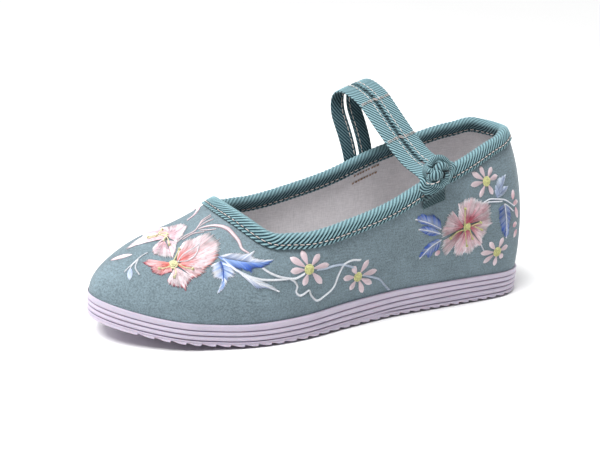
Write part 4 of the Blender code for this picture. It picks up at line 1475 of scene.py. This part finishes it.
def side_group(work):
    work.stem(PINK_ARC, 0.0023, PINK, BLUSH, taper=0.6)
    work.stems(VINES[:3], 0.0013, VINE, SNOW)
    work.stems(VINES[3:], 0.0013, MIST, VINE)
    work.leaf(PALE_LEAF, (SNOW, VINE), (SNOW, MIST))
    work.stem(PALE_LEAF[0], 0.0008, SNOW)
    work.leaf(LOW_LEAF, (BLUE, SNOW), (BLUE, SNOW))
    work.stem(LOW_LEAF[0][:3], 0.0007, DEEP_BLUE)
    work.leaf(LONG_LEAF, (MIST, SNOW), (BLUE, DEEP_BLUE))
    for places in SIDE_DAISIES:
        work.daisy(places, 0.0025, 0.0028, DUSK, SHELL)


def heel_group(work):
    work.stems(HEEL_STEMS, 0.0009, MIST, SNOW)
    for lines in MIST_LEAVES:
        work.leaf(lines, (MIST, VINE), (MIST, VINE))
    for lines in HEEL_LEAVES:
        work.leaf(lines, (MIST, DEEP_BLUE), (MIST, DEEP_BLUE))
        work.stem(lines[0], 0.0008, SHELL, SNOW)
    for ends in HEEL_BUDS:
        work.blade(*work.spots(ends), 0.0026, PINK, SHELL)
    for root, edge in HEEL_PETALS:
        work.fan(root, edge, MADDER, PINK, SHELL, SNOW, depth=0.0004)
    work.stamens(HEEL_STAMENS, MOSS, 0.0007)
    work.knots(work.spot(HEEL_CENTRE), 0.0023, MOSS, 0.0012)
    for places in HEEL_DAISIES:
        work.daisy(places, 0.0027, 0.0026, DUSK, SHELL)


# Pieces of embroidery: name, motifs, seed, and whether they are on the inner side
EMBROIDERY = (
    ("toe_flowers", toe_group, 0, False), ("side_vines", side_group, 1, False),
    ("heel_flowers", heel_group, 2, False), ("inner_side_vines", side_group, 10, True),
    ("inner_heel_flowers", heel_group, 11, True),
)

SOLE_ROUND_STEPS = 22
GROOVE_HALF = 0.00030
GROOVE_DEEP = 0.00060
GROOVE_LIP = 0.00004
BAND_CROWN = 0.00028
TREAD_INSET = 0.0032
TREAD_GAP = 0.0008
TREAD_ROUND = 0.0001
TOP_ROUND = 0.0003
# Painted shade on the grooves' lips and on the sole's top edge, as shares of a groove's own
LIP_SHADE = 0.25
TOP_SHADE = 0.3


def sole_rows():
    """Stations of the sole with its tread's notches: round the heel, five for each tooth, round
    the toe."""
    first = SOLE_LENGTH / 2 - TREAD_FRONT
    run = SOLE_LENGTH - TREAD_FRONT - TREAD_BACK - TREAD_LAND
    teeth = int(run / TREAD_PITCH) + 1
    last = first - (teeth - 1) * TREAD_PITCH - TREAD_STEP
    slope = TREAD_PITCH - TREAD_LAND - TREAD_STEP
    rows = []
    for step in range(SOLE_ROUND_STEPS):
        part = 1 - math.cos(RIGHT_ANGLE * step / SOLE_ROUND_STEPS)
        rows.append((along(0) + part * (last - along(0)), 0.0))
    for tooth in reversed(range(teeth)):
        land = first - tooth * TREAD_PITCH
        rows += [(land - TREAD_STEP, TREAD_DEPTH), (land, 0.0), (land + TREAD_LAND * 0.85, 0.0)]
        if tooth:
            rows += [(land + TREAD_LAND + slope * 0.1, TREAD_DEPTH * 0.07),
                     (land + TREAD_LAND + slope * 0.55, TREAD_DEPTH * 0.52)]
    front = first + TREAD_LAND
    for step in range(1, SOLE_ROUND_STEPS + 1):
        part = math.sin(RIGHT_ANGLE * step / SOLE_ROUND_STEPS)
        rows.append((front + part * (along(1) - front), 0.0))
    return [(station_at(y), notch) for y, notch in rows]


def sole_profile(station, notch):
    """Rings of the sole's side from the tread to the recess: height, inset, share of painted shade."""
    base, top = floor_rise(station), sole_top(station)
    tall = top - base
    edge = base + TREAD_GAP + notch
    # The undercut under the sole's edge is painted in the groove colour: painted shadow along the
    # floor.
    rings = [(base + notch, TREAD_INSET + 0.0010, 0.0), (base + notch, TREAD_INSET, 0.9),
             (edge - TREAD_ROUND, TREAD_INSET - 0.0005, 1.0), (edge - TREAD_ROUND, 0.0002, 1.0),
             (edge + TREAD_ROUND, 0.00008, 0.0)]
    cuts = []
    for column in (4, 3, 2, 1):
        share = max(follow(GROOVES, 5, station), 0.0) if column == 4 else 1.0
        cuts.append((base + tall * follow(GROOVES, column, station), share))
    low = rings[-1][0]
    for height, share in cuts + [(top + GROOVE_HALF, 0.0)]:
        high = height - GROOVE_HALF
        crown = BAND_CROWN * (share if (height, share) != cuts[0] else 1.0)
        rings += [(low + (high - low) * part, -crown * math.sin(math.pi * part), 0.0)
                  for part in (0.25, 0.5, 0.75)]
        if height <= top:
            floor_half = GROOVE_HALF * 0.3
            rings += [(high, GROOVE_LIP, LIP_SHADE * share),
                      (height - floor_half, GROOVE_DEEP * share, share),
                      (height + floor_half, GROOVE_DEEP * share, share),
                      (height + GROOVE_HALF, GROOVE_LIP, LIP_SHADE * share)]
            low = height + GROOVE_HALF
    rings += [(top - TOP_ROUND, 0.0, 0.0), (top, TOP_ROUND, TOP_SHADE)]
    tuck = TIP_TUCK * to_tip(station)
    rings = [(height, inset + tuck, groove) for height, inset, groove in rings]
    # The rim's lip and the recess are painted darker too: painted shade.
    return rings + [(top, RIM_LIP, 0.6), (recess_floor(station), RIM_LIP, 1.0)]


def sole_mesh():
    """The sole as one closed moulding, its two sides joined underneath and in the recess."""
    halves = [[[(Vector((*plan_point(station, side, inset), height)), groove)
                for height, inset, groove in sole_profile(station, notch)]
               for station, notch in sole_rows()] for side in (LATERAL, MEDIAL)]
    loop = halves[0] + halves[1][-2:0:-1]
    count, around = len(loop), len(loop[0])
    faces = tube_faces(count, around, closed=True, open_rings=True)
    for level, flip in ((0, False), (around - 1, True)):
        for row in range(count // 2):
            corners = [row, row + 1, -row - 1, -row]
            corners = list(dict.fromkeys((corner % count) * around + level for corner in corners))
            if len(corners) > 2:
                faces.append(tuple(reversed(corners) if flip else corners))
    mesh = mesh_of("sole_moulding", [point for row in loop for point, _ in row], faces,
                   {"groove": [groove for row in loop for _, groove in row]})
    skin = bmesh.new()
    skin.from_mesh(mesh)
    bmesh.ops.recalc_face_normals(skin, faces=skin.faces)
    skin.to_mesh(mesh)
    skin.free()
    mesh.set_sharp_from_angle(angle=math.radians(50))
    return mesh


FOOTBED_COLUMNS = 90
FOOTBED_LANES = 12
FOOTBED_DISH = 0.0012
FOOTBED_ROLL = 0.0012
FOOTBED_BEVEL = 0.0007


def footbed_mesh():
    """The insole: a cushion with a soft dish and a rolled edge."""
    inset = RIM_LIP + CLEAR + CLOTH_WALL + LINING_CLEAR
    rows = []
    for station in cosine_steps(FOOTBED_TRIM, 1 - FOOTBED_TRIM, FOOTBED_COLUMNS):
        base = recess_floor(station) + CLEAR
        top = base + follow(FOOTBED, 1, station)
        left, right = ([footbed_point(station, side, height, inset)
                        for height in (base, top - FOOTBED_ROLL)] for side in (LATERAL, MEDIAL))
        row = left[:]
        for lane in range(FOOTBED_LANES + 1):
            share = lane / FOOTBED_LANES
            edge = (1 - abs(2 * share - 1) ** 2.5)
            point = left[1].lerp(right[1], 0.02 + 0.96 * share)
            point.z = top - FOOTBED_BEVEL * (1 - min(edge * 4, 1)) - FOOTBED_DISH * edge
            row.append(point)
        rows.append(row + right[::-1])
    return mesh_of("footbed", [point for row in rows for point in row],
                   tube_faces(len(rows), len(rows[0])))


def colour_choice(name, description, *shade):
    return bpy.props.FloatVectorProperty(name=name, description=description, subtype="COLOR", size=4,
                                         min=0, max=1, default=tint(*shade))


class ShoeColours(bpy.types.PropertyGroup):
    """Colours of the shoe's finishes."""
    cotton: colour_choice("Cotton", "Colour of the upper's cloth", 115, 132, 140)
    tape_light: colour_choice("Tape rib", "Colour of the tape's raised ribs", 152, 190, 198)
    tape_dark: colour_choice("Tape groove", "Colour between the tape's ribs", 14, 46, 56)
    lining: colour_choice("Lining", "Colour of the linen lining", 220, 217, 219)
    sole: colour_choice("Sole", "Colour of the moulded sole", 195, 186, 203)
    # Colour of the painted shade in the sole's grooves, under its tread and at its top edge
    groove: colour_choice("Sole groove", "Colour in the sole's grooves", 112, 98, 124)
    floor: colour_choice("Floor", "Colour of the floor", 245, 245, 245)


class StageSizes(bpy.types.PropertyGroup):
    """Sizes of the stage."""
    floor_side: bpy.props.FloatProperty(
        name="Floor side", description="Side of the square floor", unit="LENGTH", default=14.0)
    sky_light: bpy.props.FloatProperty(
        name="Room light", description="Strength of the light from all round", default=0.20)
    top_light: bpy.props.FloatProperty(
        name="Top light", description="Strength of the wide light overhead", default=3.3)


def chosen(key):
    """One of the shoe's colours, as its user has it."""
    return tuple(getattr(bpy.context.scene.shoe_colours, key))


def material(name):
    return bpy.data.materials[name]


class DressUpper(bpy.types.Operator):
    """Make the cotton upper and its linen lining"""
    bl_idname = "cloth_shoe.upper"
    bl_label = "Upper and lining"

    def execute(self, context):
        mesh = cloth_mesh()
        piece = dress("cotton_upper", mesh, cotton_paint(chosen("cotton")), "upper", slot="upper")
        thicken(piece, CLOTH_THICK)
        lining = dress("linen_lining", inward_copy(mesh, "lining", CLOTH_WALL - LINING_THICK),
                       linen_paint(chosen("lining")), slot="upper")
        thicken(lining, LINING_THICK)
        return {"FINISHED"}


class DressSole(bpy.types.Operator):
    """Make the moulded sole with its grooves and tread"""
    bl_idname = "cloth_shoe.sole"
    bl_label = "Sole"

    def execute(self, context):
        dress("moulded_sole", sole_mesh(), sole_paint(chosen("sole"), chosen("groove")), "sole",
              slot="sole")
        return {"FINISHED"}


class DressFootbed(bpy.types.Operator):
    """Make the insole inside the upper"""
    bl_idname = "cloth_shoe.footbed"
    bl_label = "Insole"

    def execute(self, context):
        pad = dress("linen_insole", footbed_mesh(), material("linen"), "insole", slot="insole")
        return {"FINISHED"}


def sew(work, slot):
    """Put a piece of needlework on the shoe."""
    paint = bpy.data.materials.get("thread") or thread_paint("thread", 0.42)
    dress(work.name, work.mesh(), paint, slot=slot)


class DressBinding(bpy.types.Operator):
    """Make the twill tape folded over the collar's edge, with its stitches"""
    bl_idname = "cloth_shoe.binding"
    bl_label = "Collar binding"

    def execute(self, context):
        lengths = collar_frames()[3]
        grid = binding_grid()
        profile = binding_profile()
        perimeter = lengths[-1] + lengths[1]
        pitch = perimeter / round(perimeter / BINDING_PITCH)
        drops = np.array([max(drop, 0) for drop, _ in profile])
        pressed = np.exp(-((drops - STITCH_SHARE) / STITCH_CHANNEL) ** 2)
        # The rib tones paint light and shade: the crown's grooves are lighter as lit from above, and
        # the inner leg's ribs are darker than the outer leg's as painted shade.
        outer = (np.array([across for _, across in profile]) + 1) / 2
        crown = np.clip(1 - drops * 5, 0, 1)
        mesh = tape_mesh("binding", grid, lengths, lengths_along(grid[0]), BINDING_THICK, pitch,
                         BINDING_SLANT, BINDING_RELIEF, closed=True, flatten=1 - 0.8 * pressed,
                         beneath=8, tones=(0.26 * crown, 0.60 + 0.34 * outer + 0.06 * crown))
        light, dark = chosen("tape_light"), chosen("tape_dark")
        paint = twill_paint("twill tape", light, dark)
        # Darker copies of the tape's paint, as painted shade: the shaded tape, the knot's tape, and a
        # near-black painted shadow for the cords between the knot's lobes.
        twill_paint("shaded tape", deeper(light, 0.42), deeper(dark, 0.6))
        twill_paint("knot tape", deeper(light, 0.78), deeper(dark, 0.9))
        twill_paint("deep fold", deeper(dark, 0.6), deeper(dark, 0.15))
        dress("twill_binding", mesh, paint, "collar_binding", slot="collar_binding")
        work = Needlework("binding_stitches", 5)
        ups = normals_of(grid, True)
        for face in (1, -1):
            column = min((index for index, (_, across) in enumerate(profile) if across == face),
                         key=lambda index: abs(profile[index][0] - STITCH_SHARE))
            line = grid[:, column] + ups[:, column] * BINDING_THICK * 0.62
            running_stitch(work, line, ups[:, column], BINDING_STITCH)
        sew(work, "collar_binding")
        return {"FINISHED"}


# Lengths along the strap from its sewn end where cross bars hold its two bands together
STRAP_BARS = (0.0795, 0.1068)
# The stretch where the gap between the bands is closed, and its stitches' pitch
GAP_CLOSED = (0.0600, 0.1250)
GAP_STITCH = 0.0019


class DressStrap(bpy.types.Operator):
    """Make the strap's two tape bands and their stitches"""
    bl_idname = "cloth_shoe.strap"
    bl_label = "Strap"

    def execute(self, context):
        surface, lengths = strap_surface()
        total = lengths[-1]
        mesh = tape_mesh("strap", surface, lengths, np.linspace(0, STRAP_BAND, surface.shape[1]),
                         STRAP_THICK - STRAP_RELIEF, STRAP_PITCH, STRAP_SLANT, STRAP_RELIEF)
        dress("twill_strap", mesh, material("twill tape"), "strap", slot="strap")
        work = Needlework("strap_stitches", 9)
        ups = normals_of(surface)
        column = int(0.2 * BAND_COLUMNS)
        for face in (1, -1):
            line = surface[:, column] + face * ups[:, column] * STRAP_THICK * 0.52
            running_stitch(work, line, face * ups[:, column], BAND_STITCH)
        for place in STRAP_BARS:
            first, up = strap_at_bar(place)
            bar = np.concatenate([first[::-1], strap_at_bar(total - place)[0]])
            lift = np.concatenate([up[::-1], up])
            away = unit(np.cross(lift, np.gradient(bar, axis=0)))
            lift = lift * (np.sign(lift[len(lift) // 2, 2]) or 1.0)
            for offset in (-0.0005, 0.0004):
                spots = bar + lift * STRAP_THICK * 0.62 + away * offset
                running_stitch(work, spots, lift, BAR_STITCH)
        rows = [int(np.searchsorted(lengths, place))
                for place in np.arange(*GAP_CLOSED, GAP_STITCH / 4)]
        back = [int(np.searchsorted(lengths, total - lengths[row])) - 1 for row in rows]
        near, far = surface[rows, 2], surface[back, 2]
        tape = np.array([near + (far - near) * share for share in np.linspace(0, 1, 7)])
        tape = tape.transpose(1, 0, 2) - ups[rows, 0][:, None] * STRAP_THICK * 0.2
        gusset = tape_mesh("gusset", tape, lengths[rows] - lengths[rows[0]],
                           np.linspace(0, STRAP_GAP * 2, 7), STRAP_THICK * 0.5, STRAP_PITCH, 0.0,
                           STRAP_RELIEF * 0.3)
        # The gusset wears the darker shaded tape: painted shade in the gap between the bands.
        dress("strap_gusset", gusset, material("shaded tape"), slot="strap")
        for row, other in list(zip(rows, back))[::4]:
            shares = np.linspace(0, 1, 5)[:, None]
            up = np.repeat(ups[row, 0][None], 5, axis=0)
            spots = (surface[row, 1] + (surface[other, 1] - surface[row, 1]) * shares
                     + up * STRAP_THICK * (0.3 + 0.25 * (2 * shares - 1) ** 2))
            work.thread(spots, up, 0.0005, 0.0004, work.varied(VINE_DARK, 0.3))
        sew(work, "strap")
        return {"FINISHED"}


class DressButton(bpy.types.Operator):
    """Make the knotted tape button and its two tape ends"""
    bl_idname = "cloth_shoe.button"
    bl_label = "Knotted button"

    def cords(self, rows):
        """The paths of lobes, under the knot's round face."""
        made = []
        for radius, spots in rows:
            path = [tuple(place - out * radius * MM) for place, out in map(on_knot, spots)]
            made.append((radius * MM, np.array(path)))
        return made

    def execute(self, context):
        lobes = self.cords(KNOT_LOBES)
        centre, out = knot_frame()
        core = [tuple(centre + out * share * KNOT_DEEP) for share in KNOT_CORE]
        lobes.append((KNOT_CORE_RADIUS, np.array(core)))
        # The knot wears a darker copy of the tape: painted shade.
        dress("tape_knot", cord_mesh("knot", lobes, KNOT_PITCH, KNOT_RELIEF), material("knot tape"),
              "button_knot", slot="button_knot")
        # Near-black cords along the gaps between the lobes: painted shadow.
        dress("knot_gaps", cord_mesh("gaps", self.cords(KNOT_SHADOW_CORDS), KNOT_PITCH, 0.0, 8),
              material("deep fold"), slot="button_knot")
        top = hole_drop() + KNOT_NECK / 2 + SOFT_CLEAR
        bottom = top + TAIL_LENGTH
        half = TAIL_WIDTH / 2 / MM
        low = SOFT_CLEAR + TAIL_THICK / 2
        under = tail_grid((half, half), (-half * 0.9, -half), top, (bottom, bottom + 0.0018), low)
        over = tail_grid((half + 0.8, half + 0.6), (-half * 0.5, -half * 0.45), top,
                         (bottom - 0.0034, bottom - 0.0058), low + TAIL_THICK * 0.7)
        # Both tape ends wear the darker shaded tape: painted shade.
        for name, grid, slant in (("tail_under", under, 1.1), ("tail_over", over, -1.1)):
            mesh = tape_mesh(name, *grid, TAIL_THICK * 0.6, STRAP_PITCH * 0.7, slant, STRAP_RELIEF)
            dress("tape_" + name, mesh, material("shaded tape"), "button_tails", slot="button_tails")
        work = Needlework("knot_stitches", 3)
        seam = [on_knot(spot) for spot in KNOT_SEAM]
        running_stitch(work, *(np.array([tuple(row[part]) for row in seam]) for part in (0, 1)),
                       KNOT_STITCH)
        sew(work, "button_knot")
        return {"FINISHED"}


# Rows of thread where the strap is sewn through the inner wall: drop below the edge, half run
SEAT_ROWS = ((0.0096, 0.0085), (0.0140, 0.0080))
SEAT_SHIFT = 0.004
SEAT_STEPS = 12


class SewSeat(bpy.types.Operator):
    """Sew the strap's end through the lining"""
    bl_idname = "cloth_shoe.seat"
    bl_label = "Stitches in the lining"

    def execute(self, context):
        work = Needlework("seat_stitches", 21)
        y = along(0) + STRAP_MEDIAL_SEAT - SEAT_SHIFT
        for drop, half in SEAT_ROWS:
            for offset in (-0.0003, 0.0003):
                line, ups = [], []
                for step in range(2 * SEAT_STEPS + 1):
                    place = y + half * (step / SEAT_STEPS - 1)
                    spot = wall_point(MEDIAL, place, drop + offset, 0.0)
                    normal = ground().under(spot)[1]
                    line.append(tuple(spot - normal * (CLOTH_WALL + 0.0001)))
                    ups.append(tuple(-normal))
                running_stitch(work, np.array(line), np.array(ups), SEAT_STITCH, SEAT_BROWN)
        sew(work, "upper")
        return {"FINISHED"}


class SewEmbroidery(bpy.types.Operator):
    """Sew the flowers, leaves and vines of both sides"""
    bl_idname = "cloth_shoe.embroidery"
    bl_label = "Embroidery"

    def execute(self, context):
        for name, group, seed, mirrored in EMBROIDERY:
            work = Embroidery(name, seed, mirrored)
            group(work)
            sew(work, "upper")
        return {"FINISHED"}


# The camera as recovered from the picture: degrees round and up, distance to the shoe's middle,
# shift of its aim, roll, and focal length as pixels of a 600 pixel wide frame
CAMERA_AROUND = 238.67
CAMERA_UP = 18.25
CAMERA_FAR = 0.5132
CAMERA_AIM = (-0.00741, 0.03612)
CAMERA_ROLL = 4.37
CAMERA_FOCUS = 959.31
FRAME_WIDTH = 600
SENSOR = 36.0


def camera_axes():
    """The camera's right, up and back directions, before its roll."""
    around, rise = math.radians(CAMERA_AROUND), math.radians(CAMERA_UP)
    back = Vector((math.sin(around) * math.cos(rise), -math.cos(around) * math.cos(rise),
                   math.sin(rise)))
    right = (-back).cross(Vector((0, 0, 1))).normalized()
    return right, right.cross(-back), back


def set_camera():
    right, up, back = camera_axes()
    roll = math.radians(CAMERA_ROLL)
    right, up = (right * math.cos(roll) + up * math.sin(roll),
                 up * math.cos(roll) - right * math.sin(roll))
    place = back * CAMERA_FAR + right * CAMERA_AIM[0] + up * CAMERA_AIM[1]
    lens = bpy.data.cameras.new("camera")
    lens.sensor_width = SENSOR
    lens.sensor_fit = "HORIZONTAL"
    lens.lens = CAMERA_FOCUS / FRAME_WIDTH * SENSOR
    lens.clip_start = 0.01
    camera = put("camera", lens)
    matrix = Matrix((right, up, back)).transposed().to_4x4()
    matrix.translation = place + Vector((SIDE_SHIFT, 0, 0))
    camera.matrix_world = matrix
    bpy.context.scene.camera = camera


SUN_PLACE = (-0.08, 0.45, 1.0)
SUN_WIDTH = 36
# Soft square lamps: name, place, point they are turned to, side and power
LAMPS = (("front_lamp", (-0.12, 0.55, 1.0), (0.0, 0.09, 0.04), 0.6, 6.0),
         ("rim_lamp", (0.6, 0.55, 0.6), (0.0, 0.08, 0.05), 0.5, 3.0),
         ("heel_lamp", (0.15, -0.8, 0.3), (0.0, -0.1, 0.05), 0.4, 3.0))


def add_light(name, kind, energy, place, aim):
    """A light at a place, turned to a point."""
    light = bpy.data.lights.new(name, kind)
    light.energy = energy
    lamp = put(name, light)
    lamp.location = place
    lamp.rotation_euler = (Vector(aim) - Vector(place)).to_track_quat("-Z", "Y").to_euler()
    return light


class SetStage(bpy.types.Operator):
    """Make the floor, the lights and the camera"""
    bl_idname = "cloth_shoe.stage"
    bl_label = "Floor, lights and camera"

    def execute(self, context):
        sizes = context.scene.shoe_stage
        half = sizes.floor_side / 2
        corners = [(-half, -half, 0), (half, -half, 0), (half, half, 0), (-half, half, 0)]
        floor = put("floor", mesh_of("floor", corners, [(0, 1, 2, 3)]))
        floor.data.materials.append(floor_paint(chosen("floor")))
        world = bpy.data.worlds.new("room")
        world.use_nodes = True
        sky = world.node_tree.nodes["Background"]
        sky.inputs["Color"].default_value = (1.0, 1.0, 1.0, 1.0)
        sky.inputs["Strength"].default_value = sizes.sky_light
        context.scene.world = world
        sun = add_light("top_light", "SUN", sizes.top_light, SUN_PLACE, (0, 0, 0))
        sun.angle = math.radians(SUN_WIDTH)
        for name, place, aim, side, power in LAMPS:
            add_light(name, "AREA", power, place, aim).size = side
        set_camera()
        context.scene.view_settings.view_transform = "Standard"
        return {"FINISHED"}


class ShoePanel(bpy.types.Panel):
    """Lists the shoe's pieces"""
    bl_idname = "VIEW3D_PT_cloth_shoe"
    bl_label = "Cloth Shoe"
    bl_space_type = "VIEW_3D"
    bl_region_type = "UI"
    bl_category = "Cloth Shoe"

    def draw(self, context):
        for group in (context.scene.shoe_colours, context.scene.shoe_stage):
            for key in group.bl_rna.properties.keys():
                if key not in ("rna_type", "name"):
                    self.layout.prop(group, key)
        for piece in PIECES:
            self.layout.operator(piece.bl_idname)


PIECES = (DressUpper, DressSole, DressFootbed, DressBinding, DressStrap, DressButton,
          SewSeat, SewEmbroidery, SetStage)
GROUPS = (ShoeColours, StageSizes)


def register():
    for kind in GROUPS + PIECES + (ShoePanel,):
        bpy.utils.register_class(kind)
    bpy.types.Scene.shoe_colours = bpy.props.PointerProperty(type=ShoeColours)
    bpy.types.Scene.shoe_stage = bpy.props.PointerProperty(type=StageSizes)


def unregister():
    del bpy.types.Scene.shoe_stage
    del bpy.types.Scene.shoe_colours
    for kind in reversed(GROUPS + PIECES + (ShoePanel,)):
        bpy.utils.unregister_class(kind)


def main():
    register()
    for piece in PIECES:
        group, name = piece.bl_idname.split(".")
        getattr(getattr(bpy.ops, group), name)()


if __name__ == "__main__":
    main()
